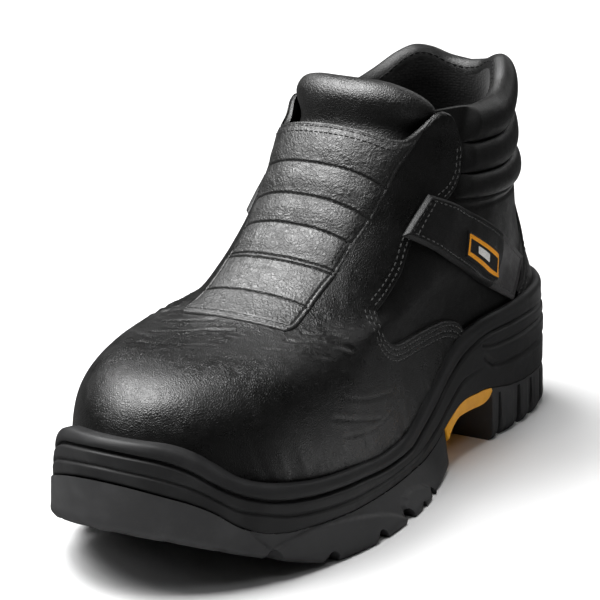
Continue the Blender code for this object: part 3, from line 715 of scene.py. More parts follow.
def grid_faces(rows, columns, close_rows=False, close_columns=False):
    i = np.arange(rows if close_rows else rows - 1)
    j = np.arange(columns if close_columns else columns - 1)
    a, b = np.meshgrid(i, j, indexing="ij")
    next_a, next_b = (a + 1) % rows, (b + 1) % columns
    corners = [a * columns + b, next_a * columns + b, next_a * columns + next_b, a * columns + next_b]
    return np.stack(corners, -1).reshape(-1, 4)


def make_piece(name, points, faces, looks, nodes=(), face_looks=None, weld=0.0):
    """Smooth mesh that rides on the boot; points in millimetres."""
    mesh = bpy.data.meshes.new(name)
    points = (np.asarray(points, float).reshape(-1, 3) + [PLACE_X, 0, 0]) * MM
    faces = np.asarray(faces)
    mesh.vertices.add(len(points))
    mesh.vertices.foreach_set("co", points.ravel())
    mesh.loops.add(faces.size)
    mesh.loops.foreach_set("vertex_index", faces.ravel())
    mesh.polygons.add(len(faces))
    mesh.polygons.foreach_set("loop_start", np.arange(0, faces.size, faces.shape[1]))
    mesh.polygons.foreach_set("use_smooth", np.ones(len(faces), bool))
    for look in looks:
        mesh.materials.append(LOOKS[look])
    if face_looks is not None:
        mesh.polygons.foreach_set("material_index", np.asarray(face_looks, np.int32))
    mesh.update(calc_edges=True)
    mesh.validate()
    made = bpy.data.objects.new(name, mesh)
    bpy.context.scene.collection.objects.link(made)
    if weld:
        made.modifiers.new("weld", "WELD").merge_threshold = weld * MM
    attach(made, "root")
    if nodes:
        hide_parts(*nodes)
    return made


def turned_out(points, faces, middle):
    """Faces ordered so that they look away from a middle."""
    a, b, c, d = (points[faces[:, k]] for k in range(4))
    outward = (np.cross(c - a, d - b) * ((a + b + c + d) / 4 - middle)).sum() > 0
    return faces if outward else faces[:, ::-1]


def joined(grids, middle=None):
    """Points and outward faces of several grids as one mesh."""
    flat = np.concatenate([grid.reshape(-1, 3) for grid in grids])
    middle = flat.mean(0) if middle is None else np.asarray(middle)
    faces, offset = [], 0
    for grid in grids:
        points = grid.reshape(-1, 3)
        faces.append(turned_out(points, grid_faces(*grid.shape[:2]), middle) + offset)
        offset += len(points)
    return flat, np.concatenate(faces)


# Close mesh steps near an edge, as distances from it.
EDGE_STEPS = (0.0, 0.3, 0.7, 1.2, 1.8)


def spaced(length, pitch):
    """Shares from 0 to 1 along a length, with close steps near both ends."""
    ends = np.array(EDGE_STEPS) / length
    inner = np.linspace(ends[-1], 1 - ends[-1], max(4, int(length / pitch)))
    return np.r_[ends[:-1], inner, 1 - ends[-2::-1]]


def seam(line, aside=0.0):
    """Close points along a line of angle and level, moved aside on the surface, with normals and tangents."""
    base, normal = on_last(*line.T)
    tangent = unit(np.gradient(base, axis=0))
    return base + aside * np.cross(normal, tangent), normal, tangent


def drawn(controls, count=140):
    return spline(controls, np.linspace(0, 1, count))


def rounded_edge(distance, radius):
    return np.sqrt(1 - (1 - np.clip(distance / radius, 0, 1)) ** 2)


# Width of the border in which a panel's relief fades out, and radius of a panel's edge.
EDGE_FADE = 2.0
PANEL_EDGE = 1.3


def panel_shape(angle, level, lift, thick, free_edges, edge, relief):
    """Leather panel on the last: base points, normals and distance out, rounded towards its free edges."""
    angle, level = np.broadcast_arrays(angle, level)
    base, normal = on_last(angle, level)
    away = np.full(base.shape[:-1], FAR)
    for line in free_edges:
        away = np.minimum(away, distance_to(base, line))
    out = lift + thick * rounded_edge(away, edge)
    out = out + relief(base, angle, level) * np.clip(away / EDGE_FADE, 0, 1)
    return {"base": base, "normal": normal, "out": out}


def add_panel(name, shape, look, nodes=()):
    grid = raised(**shape)
    return make_piece(name, grid, grid_faces(*grid.shape[:2]), [look], nodes)


STITCH_ROWS = []


def stepped(line, tables, pitch, first, spare=0.0):
    """Values of tables at even steps along a line of points."""
    travel = np.r_[0, np.cumsum(np.linalg.norm(np.diff(line, axis=0), axis=-1))]
    marks = np.arange(first, travel[-1] - spare, pitch)
    return [np.stack([np.interp(marks, travel, column) for column in table.T], -1) for table in tables]


def sew(shape, line, aside=0.0, pitch=2.9, length=2.0, width=0.72, sink=0.12, painted_glint=True):
    """Row of stitches along a line of angle and level, lying on a panel."""
    base, _, tangent = seam(line, aside)
    spots, tangents = stepped(base, (base, tangent), pitch, pitch / 2)
    flat, facing = shape["base"].reshape(-1, 3), shape["normal"].reshape(-1, 3)
    near = np.array([((flat - spot) ** 2).sum(1).argmin() for spot in spots], int)
    normal = facing[near]
    off = ((flat[near] - spots) * normal).sum(-1) + shape["out"].ravel()[near] - sink
    STITCH_ROWS.append((raised(spots, normal, off), normal, tangents, length, width, painted_glint))


def stitch_mesh():
    """All the stitches as one joined mesh of small capsules."""
    along = np.array([-1.0, -0.86, -0.45, 0.0, 0.45, 0.86, 1.0])
    girth = np.sqrt(np.clip(1 - np.abs(along) ** 3, 0, 1)) + 0.02
    turn = np.linspace(0, 2 * math.pi, 8, endpoint=False)
    points, faces, tones, offset = [], [], [], 0
    ring = grid_faces(len(along), len(turn), close_columns=True)
    for place, normal, tangent, length, width, painted_glint in STITCH_ROWS:
        side = np.cross(normal, tangent)
        body = (along[:, None, None] * length / 2 * tangent[:, None, None, :]
                + (girth[:, None] * np.cos(turn))[..., None] * width / 2 * side[:, None, None, :]
                + (girth[:, None] * np.sin(turn))[..., None] * width / 2 * normal[:, None, None, :])
        body = body + place[:, None, None, :]
        count = len(along) * len(turn)
        points.append(body.reshape(-1, 3))
        faces.append((ring[None] + (offset + count * np.arange(len(place)))[:, None, None]).reshape(-1, 4))
        # Stitches with a painted glint take the lighter grey thread.
        tones.append(np.full(len(place) * len(ring), int(painted_glint)))
        offset += count * len(place)
    return make_piece("stitching", np.concatenate(points), np.concatenate(faces), ["thread", "grey thread for painted glints"],
                      face_looks=np.concatenate(tones))


TUCK = 4.0
SHELL_GAP = -0.1
VAMP_THICK = 2.2
VAMP_EDGE_RADIUS = 1.4
QUILT_LIFT = 1.6
QUILT_THICK = 1.5
# Half angle of the quilted panel and the fall of its rows, by its level on the centre line.
QUILT_WIDTH = {
    6.12: 0.525, 6.5: 0.505, 6.9: 0.478, 7.4: 0.458, 8.06: 0.472, 8.73: 0.50,
    9.51: 0.591, 10.11: 0.653, 10.6: 0.723, 10.9: 0.835, 11.05: 0.90,
}
QUILT_FALL = {6.12: 1.65, 6.9: 1.75, 7.92: 1.6, 8.78: 1.7, 9.43: 1.45, 10.12: 1.1, 11.05: 1.0}
QUILT_FOOT, QUILT_LAST_SEAM, QUILT_TOP = 6.12, 10.12, 11.03
PATCH_CROSS, DOUBLE_SEAM, FOOT_SEAM = 6.90, 7.92, 6.26
FOOT_CORNER, FOOT_ROUNDING, FOOT_REACH = 0.24, 0.15, 0.86
BELOW_FLAP_TOP = 0.03
DOUBLE_SHIFTS = (-0.055, 0.055)

# Creases of the vamp on each side of the patch: angle and level along them, depth and half width in mm.
VAMP_CREASES = (
    (((-0.528, 5.27), (-0.304, 5.75), (-0.10, 6.02)), 0.28, 0.9),
    (((-0.42, 4.98), (-0.101, 5.60), (0.10, 5.80)), 0.24, 0.8),
    (((-0.36, 4.62), (-0.01, 5.04), (0.16, 5.15)), 0.18, 0.8),
    (((-0.62, 4.55), (-0.40, 4.80), (-0.20, 4.90)), 0.14, 0.8),
    (((0.56, 5.30), (0.646, 5.15), (0.835, 4.85), (1.059, 4.26)), 0.36, 0.9),
    (((0.60, 5.62), (0.674, 5.48), (0.793, 5.29), (0.94, 4.89)), 0.32, 0.8),
    (((0.50, 4.95), (0.72, 4.62), (0.93, 4.20)), 0.24, 0.8),
    (((0.66, 5.90), (0.78, 5.70), (0.90, 5.38)), 0.26, 0.8),
    (((1.10, 1.50), (1.213, 1.34), (1.324, 1.28), (1.415, 1.47)), 0.15, 0.8),
    (((1.038, 2.21), (1.185, 1.81), (1.331, 1.47)), 0.15, 0.8),
    (((1.10, 2.70), (1.25, 2.30), (1.42, 2.05)), 0.10, 0.8),
    (((-1.04, 2.21), (-1.2, 1.8), (-1.35, 1.5)), 0.15, 0.8),
    (((-0.72, 5.3), (-0.86, 4.8), (-1.06, 4.2)), 0.34, 0.9),
    (((-0.66, 5.7), (-0.80, 5.25), (-0.95, 4.85)), 0.3, 0.8),
)


def arched(level, fall, angle):
    return level - fall * np.asarray(angle) ** 2


def flap_top(angle):
    return table_value(FLAP_TOP, np.abs(angle))


def flap_half(level):
    return table_value(FLAP_SIDE, level)


def flap_seam(angle):
    centre, edge = FLAP_SEAM
    return centre + (edge - centre) * (np.asarray(angle) / FLAP_ANGLE) ** 2


def rim_height(angle):
    return table_value(SIDE_LINES, rim_station(angle), RIM)


def hem_level(angle):
    """Level where the leather ends, tucked behind the rim of the sole."""
    return level_at_height(angle, rim_height(angle) - TUCK)


def scoop_line():
    """Upper edge of the vamp behind the flap on the lateral side: angle, level."""
    edge_angle, edge_level = surface_at(*np.array(VAMP_EDGE).T)
    turn = np.r_[FLAP_ANGLE, edge_angle]
    return turn, np.r_[FLAP_SEAM[1], edge_level]


SCOOP_ANGLE, SCOOP_LEVEL = scoop_line()
VAMP_END = SCOOP_ANGLE[-1]
SCOOP = drawn(np.stack([SCOOP_ANGLE, SCOOP_LEVEL], -1), 220)


def on_side(line, side):
    """Line of angle and level on the lateral side, 1, or mirrored to the medial side, -1."""
    return line * np.array([side, 1.0])


def flap_side(stop=0.0):
    level = np.linspace(FLAP_SEAM[1], max(FLAP_SIDE) - stop, 200)
    return np.stack([flap_half(level), level], -1)


def flap_top_line(reach=FLAP_SIDE[max(FLAP_SIDE)]):
    across = np.linspace(-reach, reach, 260)
    return np.stack([across, flap_top(across)], -1)


FREE_EDGES = [seam(on_side(line, side))[0] for line in (SCOOP, flap_side()) for side in (1, -1)]
FREE_EDGES.append(seam(flap_top_line())[0])
CREASE_LINES = [(seam(drawn(controls))[0], depth, width) for controls, depth, width in VAMP_CREASES]
# Distances of the stitch rows from the edges of the vamp and of the flap.
SCOOP_ROWS = (2.2, 4.4, 6.6)
FLAP_ROWS = (2.6, 5.0)
FLAP_ROW_STOP = 0.9
# Depth and half width of the furrow that a stitch row pulls into the vamp.
SEAM_PULL = (0.22, 0.7)
# Height of the banks beside a crease, as a share of its depth.
CREASE_BANK = 0.35
# Mesh columns and rows of the flap's part and of each side of the vamp.
FLAP_MESH, VAMP_MESH = (200, 90), (100, 150)
# Unevenness of the vamp: size and height in mm, seed.
VAMP_LUMPS = ((26.0, 0.22, 3), (9.0, 0.10, 4))
RIM_PUCKERS = ((3.2, 0.28, 6), (1.7, 0.18, 7))
FLEX_FOLDS = ((4.6, 0.26, 11), (2.2, 0.20, 13))
PATCH_FOLDS = ((3.0, 0.20, 21), (1.5, 0.12, 23))


def vamp_relief(base, angle, level):
    """Listed creases, the puckers over the sole's rim, the seams' pull and slow unevenness."""
    relief = uneven(base, VAMP_LUMPS)
    for line, depth, width in CREASE_LINES:
        distance = distance_to(base, line)
        relief = relief + groove(distance, depth, width)
        relief = relief + CREASE_BANK * depth * bell(distance, 2.4 * width, width)
    off_centre = np.abs(angle)
    height = base[..., 2] - rim_height(angle)
    over_rim = bell(height, 5.0, 9.0) * blend(off_centre, 0.5, 0.8)
    slanted = np.stack([base[..., 1] + 0.5 * base[..., 2], 0.16 * base[..., 2]], -1)
    relief = relief + over_rim * uneven(slanted, RIM_PUCKERS)
    flex = bell(level, 5.2, 0.8) * blend(off_centre, 0.5, 0.62) * (1 - blend(off_centre, 1.0, 1.25))
    relief = relief - flex * uneven(base, FLEX_FOLDS, creased)
    below_patch = bell(level, 5.55, 0.46) * (1 - blend(off_centre, 0.6, 1.0))
    across_foot = base * [0.16, 1.0, 1.0] + [0, 1.6, 0] * lumps(base, 13.0, 15)[..., None]
    relief = relief - below_patch * uneven(across_foot, PATCH_FOLDS, creased)
    for side in (1, -1):
        for aside in SCOOP_ROWS:
            row = seam(on_side(SCOOP, side), -side * aside)[0]
            relief = relief + groove(distance_to(base, row), *SEAM_PULL)
    return relief


EAR_RISE = 1.6


def ear_lift(angle, level):
    """The flap's top corners stand off where the tongue bulges under them."""
    return EAR_RISE * blend(level, 10.75, 11.3) * blend(np.abs(angle), 0.72, 0.9)


def vamp_pieces():
    """Vamp leather that runs on up both sides of the instep as the flap; one skin."""
    front = np.linspace(-FLAP_ANGLE, FLAP_ANGLE, FLAP_MESH[0])
    side = np.linspace(FLAP_ANGLE, VAMP_END, VAMP_MESH[0])
    rows = np.linspace(0, 1, VAMP_MESH[1])
    upper_rows = np.linspace(0, 1, FLAP_MESH[1])[1:]
    lower = between(hem_level(front), flap_seam(front), rows)
    edge = FLAP_SEAM[1] + (max(FLAP_SIDE) - FLAP_SEAM[1]) * upper_rows
    spread = front[:, None] / FLAP_ANGLE * flap_half(edge)
    higher = between(flap_seam(front), flap_top(spread[:, -1]), upper_rows)
    grids = [(np.c_[np.tile(front[:, None], len(rows)), spread], np.c_[lower, higher])]
    for turn in (side, -side[::-1]):
        low = hem_level(turn)
        top = np.interp(np.abs(turn), SCOOP[:, 0], SCOOP[:, 1])
        grids.append((turn[:, None], between(low, np.maximum(top, low + 0.02), rows)))
    shapes = [panel_shape(angle, level, SHELL_GAP + ear_lift(angle, level), VAMP_THICK, FREE_EDGES,
                          VAMP_EDGE_RADIUS, vamp_relief) for angle, level in grids]
    points, faces, offset = [], [], 0
    for shape in shapes:
        points.append(raised(**shape).reshape(-1, 3))
        faces.append(grid_faces(*shape["base"].shape[:2]) + offset)
        offset += shape["out"].size
    make_piece("vamp_and_flap", np.concatenate(points), np.concatenate(faces), ["vamp"],
               ("vamp", "flap"), weld=0.02)
    return {key: np.concatenate([shape[key].reshape(shape["out"].size, -1) for shape in shapes])
            for key in ("base", "normal", "out")}


def quilt_line(level, reach=1.0, count=160):
    half = table_value(QUILT_WIDTH, level) * reach
    across = np.linspace(-half, half, count)
    return np.stack([across, quilt_row(level, across)], -1)


def quilt_row(level, angle):
    """Level at an angle of the panel's row that has this level on the centre line."""
    level, angle = np.broadcast_arrays(np.asarray(level, float), np.asarray(angle, float))
    row = arched(level, table_value(QUILT_FALL, level), angle)
    share = np.clip((level - QUILT_LAST_SEAM) / (QUILT_TOP - QUILT_LAST_SEAM), 0, 1)
    seam_row = arched(QUILT_LAST_SEAM, QUILT_FALL[QUILT_LAST_SEAM], angle)
    high = seam_row + (flap_top(angle) - BELOW_FLAP_TOP - seam_row) * share
    return np.where(level > QUILT_LAST_SEAM, high, row)


def quilt_side_line(side):
    level = np.linspace(QUILT_FOOT + 0.02, QUILT_TOP, 300)
    half = side * quilt_half(level)
    return np.stack([half, quilt_row(level, half)], -1)


def quilt_half(level):
    half = table_value(QUILT_WIDTH, level)
    inside = np.clip((QUILT_FOOT + FOOT_CORNER - level) / FOOT_CORNER, 0, 1)
    return half * (1 - FOOT_ROUNDING * (1 - np.sqrt(1 - inside ** 2)))


# Quilting: reach of the swell, size of the panel and of its mesh squares, depth and half width of each kind
# of furrow, unevenness as for the vamp.
QUILT_SWELL = 4.4
QUILT_LENGTH, QUILT_SPAN, QUILT_MESH = 110.0, 70.0, (0.36, 0.50)
QUILT_PULL, CROSS_PULL, FOOT_PULL, SIDE_PULL = (0.75, 0.42), (1.1, 0.5), (0.8, 0.45), (0.35, 0.45)
GATHER_REACH, QUILT_GATHERS = 4.5, ((2.4, 0.17, 37),)
QUILT_FOLDS = ((8.0, 0.10, 31), (3.4, 0.10, 33))
QUILT_LUMPS = ((17.0, 0.22, 35),)
# How far the panel's sides sink into the flap above the double seam.
QUILT_FLUSH = 0.85
SMALL_STITCH = {"pitch": 2.2, "length": 1.95, "width": 0.6, "sink": 0.08, "painted_glint": False}


def quilted_panel():
    """Tumbled leather panel of the instep: quilted above a double seam, flat below it."""
    level = QUILT_FOOT + (QUILT_TOP - QUILT_FOOT) * spaced(QUILT_LENGTH, QUILT_MESH[0])
    across = 2 * spaced(QUILT_SPAN, QUILT_MESH[1]) - 1
    angle = across[:, None] * quilt_half(level)
    rows = quilt_row(level, angle)
    outline = (quilt_side_line(1), quilt_side_line(-1), quilt_line(QUILT_FOOT, FOOT_REACH), flap_top_line())
    edges = [seam(line)[0] for line in outline]
    seam_levels = QUILT_SEAMS + tuple(DOUBLE_SEAM + shift for shift in DOUBLE_SHIFTS)
    seams = [seam(quilt_line(row))[0] for row in seam_levels]
    cross = seam(quilt_line(PATCH_CROSS))[0]
    foot = seam(quilt_line(FOOT_SEAM, FOOT_REACH))[0]

    def relief(base, angle, level):
        nearest = np.minimum.reduce([distance_to(base, line) for line in seams])
        rim = np.minimum.reduce([distance_to(base, line) for line in edges])
        quilted = blend(level + 1.6 * angle ** 2, DOUBLE_SEAM - 0.1, DOUBLE_SEAM + 0.2)
        puff = (1 - bell(np.minimum(nearest, 1.4 * rim), 0.0, QUILT_SWELL)) * (0.2 + 0.5 * quilted)
        pulled = groove(nearest, *QUILT_PULL) + groove(distance_to(base, cross), *CROSS_PULL)
        pulled = pulled + groove(distance_to(base, foot), *FOOT_PULL)
        pulled = pulled + groove(np.abs(rim - 2.0), *SIDE_PULL)
        around = np.stack([36 * angle, 5 * level], -1)
        gathers = np.exp(-nearest / GATHER_REACH) * uneven(around, QUILT_GATHERS)
        x, y, z = np.moveaxis(base, -1, 0)
        slanted = np.stack([x + 0.6 * z, 0.35 * (y - x), z], -1)
        folds = uneven(slanted, QUILT_FOLDS, creased) * np.clip(nearest / EDGE_FADE, 0.25, 1)
        return puff + pulled + gathers - folds + uneven(base, QUILT_LUMPS)

    flush = blend(level, DOUBLE_SEAM - 0.1, DOUBLE_SEAM + 0.3) * blend(np.abs(across), 0.72, 1.0)[:, None]
    lift = QUILT_LIFT - QUILT_FLUSH * flush + ear_lift(angle, rows)
    shape = panel_shape(angle, rows, lift, QUILT_THICK, edges, PANEL_EDGE, relief)
    add_panel("quilted_panel", shape, "quilt", ("instep_patch",))
    for row in seam_levels:
        sew(shape, quilt_line(row, 0.97), **SMALL_STITCH)
    sew(shape, quilt_line(PATCH_CROSS, 0.95), **SMALL_STITCH)
    for side in (1, -1):
        sew(shape, quilt_side_line(side)[:255], side * 2.0, **SMALL_STITCH)
        sew(shape, quilt_side_line(side)[120:255], side * 4.2, **SMALL_STITCH)
    sew(shape, quilt_line(FOOT_SEAM, FOOT_REACH), **SMALL_STITCH)
    for aside in (2.4, 5.0):
        sew(shape, flap_top_line(0.64), -aside, **SMALL_STITCH)


# Quarters: mesh columns and rows, wall, height where they end under the tongue, unevenness as for the vamp.
QUARTER_MESH, LINING_ROWS = (320, 130), 60
UPPER_WALL = 2.2
THROAT_HEIGHT = 101.0
QUARTER_LUMPS = ((22.0, 0.25, 41), (8.0, 0.12, 42))
QUARTER_FOLDS = ((9.0, 0.25, 43),)


def shell_pieces():
    """Quarters of the upper, and the cloth lining inside it."""
    angle = np.linspace(0, 2 * math.pi, QUARTER_MESH[0], endpoint=False)
    at_collar = level_at_height(angle, collar_edge(angle, LOWER_EDGE) + 2.0)
    at_throat = level_at_height(angle, np.full(angle.shape, THROAT_HEIGHT))
    behind = blend(off_front(angle), 0.32, 0.84)
    top = np.minimum(at_throat + (at_collar - at_throat) * behind, at_collar)
    level = between(hem_level(angle), top, np.linspace(0, 1, QUARTER_MESH[1]))
    base, normal = on_last(angle[:, None], level)
    below_collar = collar_edge(angle[:, None], LOWER_EDGE) - base[..., 2]
    upright = np.stack([base[..., 1] + 0.25 * base[..., 2], 0.2 * base[..., 2]], -1)
    out = uneven(base, QUARTER_LUMPS) + uneven(upright, QUARTER_FOLDS)
    out = out + groove(below_collar - 3.2, 0.6, 0.9) + 0.5 * bell(below_collar, 1.4, 1.2)
    grid = raised(base, normal, out)
    faces = grid_faces(*grid.shape[:2], close_rows=True)
    make_piece("quarters", grid, faces, ["smooth"], ("upper",))
    inner = upper_point(angle[:, None], np.linspace(0.02, 1, LINING_ROWS) * top[:, None], -UPPER_WALL)
    make_piece("lining", inner, grid_faces(*inner.shape[:2], close_rows=True)[:, ::-1], ["lining"])


def collar_edge(angle, column):
    return table_value(COLLAR_EDGES, np.degrees(off_front(angle)), column)


# Mesh columns round the collar, rows of a lower roll and of the top roll, and the row where the lining starts.
COLLAR_COLUMNS, ROLL_ROWS, CAP_ROWS = 300, 16, 70
COLLAR_INSIDE = 2 * ROLL_ROWS + 44
COLLAR_LUMPS = ((19.0, 0.45, 51),)
COLLAR_FOLDS = ((7.0, 0.22, 52),)


def roll(low, high, count):
    """One padded roll of the collar, from its lower valley to its upper one: height, distance out."""
    turn = np.linspace(0, math.pi, count, endpoint=False)
    share = (1 - np.cos(turn)) / 2
    return [(low + (high - low) * part, VALLEY_OUT + (COLLAR_ROLL - VALLEY_OUT) * math.sin(bend) ** 0.75)
            for part, bend in zip(share, turn)]


def collar_section(low, rim):
    """Heights and distances out round the padding, from its lower edge over the rim to the inside."""
    first, second = (low + share * (rim - low) for share in COLLAR_VALLEYS)
    tall = rim - second
    top = [(second, VALLEY_OUT), (second + 0.6, 1.9), (second + 0.16 * tall, 3.4), (second + 0.4 * tall, 4.5),
           (second + 0.65 * tall, 4.2), (second + 0.87 * tall, 2.3), (rim - 0.2, -0.6), (rim, -2.9),
           (rim - 1.3, -5.4), (rim - 5.0, -7.4), (rim - 12.0, -8.2), (rim - 20.0, -8.0), (low + 9.0, -7.6),
           (low + 3.0, -5.6), (low + 1.0, -2.6)]
    cap = spline(top, np.linspace(0, 1, CAP_ROWS))
    return np.concatenate([roll(low, first, ROLL_ROWS), roll(first, second, ROLL_ROWS), cap])


def collar_piece():
    angle = np.linspace(COLLAR_START, 2 * math.pi - COLLAR_START, COLLAR_COLUMNS)
    edges = zip(collar_edge(angle, LOWER_EDGE), collar_edge(angle, UPPER_EDGE))
    height, out = np.moveaxis(np.array([collar_section(low, rim) for low, rim in edges]), -1, 0)
    turn = np.broadcast_to(angle[:, None], height.shape)
    tucked = 1 - blend(off_front(turn), *COLLAR_SWELL)
    base, normal = on_last(turn, level_at_height(turn, height))
    padded = np.clip(out / COLLAR_ROLL, 0, 1)
    out = out + padded * (uneven(base, COLLAR_LUMPS) + uneven(base * [1, 1, 0.3], COLLAR_FOLDS))
    out = out + np.minimum(0, -0.4 - out) * tucked
    grid = raised(base, normal, out)
    faces = grid_faces(*grid.shape[:2])
    looks = (np.tile(np.arange(grid.shape[1] - 1), grid.shape[0] - 1) > COLLAR_INSIDE).astype(int)
    made = make_piece("padded_collar", grid, faces, ["collar", "lining"], ("collar",),
                      looks)
    row = COLLAR_INSIDE - 2
    line = grid[:, row]
    tangent = unit(np.gradient(line, axis=0))
    facing = unit(np.cross(tangent, grid[:, row + 1] - grid[:, row - 1]))
    pick = stepped(line, (line, facing, tangent), 2.9, 4.0, spare=4.0)
    STITCH_ROWS.append((*pick, 2.2, 0.7, False))


def tongue_piece():
    share = np.linspace(0, 1, TONGUE_MESH[0])
    centre, half, drop, out, thick = spline(np.array(TONGUE_ROWS), share).T
    turn = np.linspace(0, 2 * math.pi, TONGUE_MESH[1], endpoint=False)
    across = np.sign(np.cos(turn)) * np.abs(np.cos(turn)) ** 0.75
    depth = np.sign(np.sin(turn)) * np.clip(1 - np.abs(across) ** 5, 0, 1) ** 0.65
    angle = half[:, None] * across * np.where(across < 0, TONGUE_MEDIAL_REACH, 1.0)
    fall = np.where(across > 0, 1.0, TONGUE_MEDIAL_DROP) * np.abs(across) ** 2.4
    level = level_at_height(np.zeros(len(centre)), centre)[:, None] - drop[:, None] * fall
    face = out[:, None] - thick[:, None] / 2 + depth * thick[:, None] / 2
    base, normal = on_last(angle, level)
    face = face + np.where(depth > 0, uneven(base, TONGUE_LUMPS), 0)
    grid = raised(base, normal, face)
    facing_column = -np.arange(len(turn)) % len(turn)
    lower_fold, upper_fold = [(row + row[facing_column])[None] / 2 for row in (grid[0], grid[-1])]
    closed = np.concatenate([lower_fold, grid, upper_fold])
    faces = grid_faces(*closed.shape[:2], close_columns=True)[:, ::-1]
    made = make_piece("padded_tongue", closed, faces, ["tongue"], ("tongue",), weld=0.01)


COUNTER_MESH = (220, 90)
COUNTER_THICK = 2.0
COUNTER_ROWS = (2.3, 4.6)
COUNTER_LUMPS = ((18.0, 0.25, 71),)


def counter_piece():
    edge_angle, edge_level = surface_at(*np.array(COUNTER_EDGE).T)
    turn = np.linspace(edge_angle[0], 2 * math.pi - edge_angle[0], COUNTER_MESH[0])
    top = smooth(off_front(turn), np.r_[edge_angle, math.pi], np.r_[edge_level, edge_level[-1]])
    top = np.minimum(top, level_at_height(turn, collar_edge(turn, LOWER_EDGE) - 1.5))
    low = hem_level(turn)
    level = between(low, np.maximum(top, low + 0.05), np.linspace(0, 1, COUNTER_MESH[1]))
    edge = np.stack([turn, top], -1)
    edge_points = seam(edge)[0]

    def relief(base, angle, level):
        pulled = groove(distance_to(base, edge_points) - COUNTER_ROWS[0], 0.25, 0.7)
        return pulled + uneven(base, COUNTER_LUMPS)

    shape = panel_shape(turn[:, None], level, SHELL_GAP, COUNTER_THICK, [edge_points], PANEL_EDGE, relief)
    add_panel("counter_panel", shape, "smooth", ("heel_counter",))
    for aside in COUNTER_ROWS:
        sew(shape, edge, -aside)


def strap_place(along, across, side):
    """Angle, level and lift of the strap; along and across run from 0 to 1 between its corners."""
    front_low, front_high, rear_low, rear_high = np.array(list(STRAP_CORNERS.values()))
    u, v = np.broadcast_arrays(np.asarray(along, float), np.asarray(across, float))
    low = front_low + (rear_low - front_low) * u[..., None]
    high = front_high + (rear_high - front_high) * u[..., None]
    place = low + (high - low) * v[..., None]
    bowed = STRAP_BOW * 4 * u * (1 - u) * v
    angle, level = surface_at(place[..., 0], place[..., 1] + bowed, side)
    lift = (STRAP_LIFT - 0.6) * (1 - blend(u, 0.12, 0.34)) + 0.4 * (1 - blend(u, 0.0, 0.10))
    return angle, level, 0.3 + lift * (1.0 if side > 0 else MEDIAL_STRAP_SLACK)


def strap_line(along, across, side):
    return np.stack(strap_place(along, across, side)[:2], -1)


def strap_piece(name, node, side):
    along, across = spaced(STRAP_LENGTH, STRAP_MESH[0]), spaced(STRAP_WIDTH, STRAP_MESH[1])
    u, v = np.meshgrid(along, across, indexing="ij")
    angle, level, lift = strap_place(u, v, side)
    base, normal = on_last(angle, level)
    run = np.linspace(0, 1, 160)
    edges = [(run, 0 * run), (run, 0 * run + 1), (0 * run, run), (0 * run + 1, run)]
    lines = [upper_base(*strap_line(a, b, side).T) for a, b in edges]
    away = np.minimum.reduce([distance_to(base, line) for line in lines])
    crown = rounded_edge(away, STRAP_EDGE)
    pulled = groove(away - 2.4, 0.3, 0.7) + 0.35 * bell(away, 1.1, 0.9)
    sag = uneven(base, STRAP_LUMPS[side])
    layer_end = (np.polyval(STRAP_LAYER_END[::-1], v) - u) * STRAP_LENGTH
    layer = 0.8 * rounded_edge(np.clip(layer_end, 0, None), 1.0) * np.clip((away - 0.6) / 0.8, 0, 1)
    pulled = pulled + layer + groove(layer_end - 2.2, 0.25, 0.6)
    middle = lift + STRAP_THICK / 2
    inside = np.clip(away / STRAP_EDGE, 0, 1)
    top = middle + STRAP_THICK / 2 * crown + (pulled + sag) * inside
    bottom = middle - STRAP_THICK / 2 * crown + sag * inside
    shape = {"base": base, "normal": normal, "out": top}
    skins = np.concatenate([raised(base, normal, height).reshape(-1, 3) for height in (top, bottom)])
    faces = grid_faces(*u.shape)[:, ::side]
    both = np.concatenate([faces, faces[:, ::-1] + u.size])
    # Faces past the upper layer take the lighter leather: painted light.
    beyond = (layer_end[:-1, :-1] < 0).ravel().astype(int)
    make_piece(name, skins, both, ["strap", "lit strap end"], (node,), np.r_[beyond, beyond], weld=0.01)
    inner = np.linspace(0.03, 0.985, 200)
    for row in STRAP_ROWS:
        sew(shape, strap_line(inner, np.full(200, row), side))
    ends = np.linspace(*STRAP_ROWS, 60)
    for place in STRAP_END_ROWS:
        sew(shape, strap_line(np.full(60, place), ends, side))
    return shape


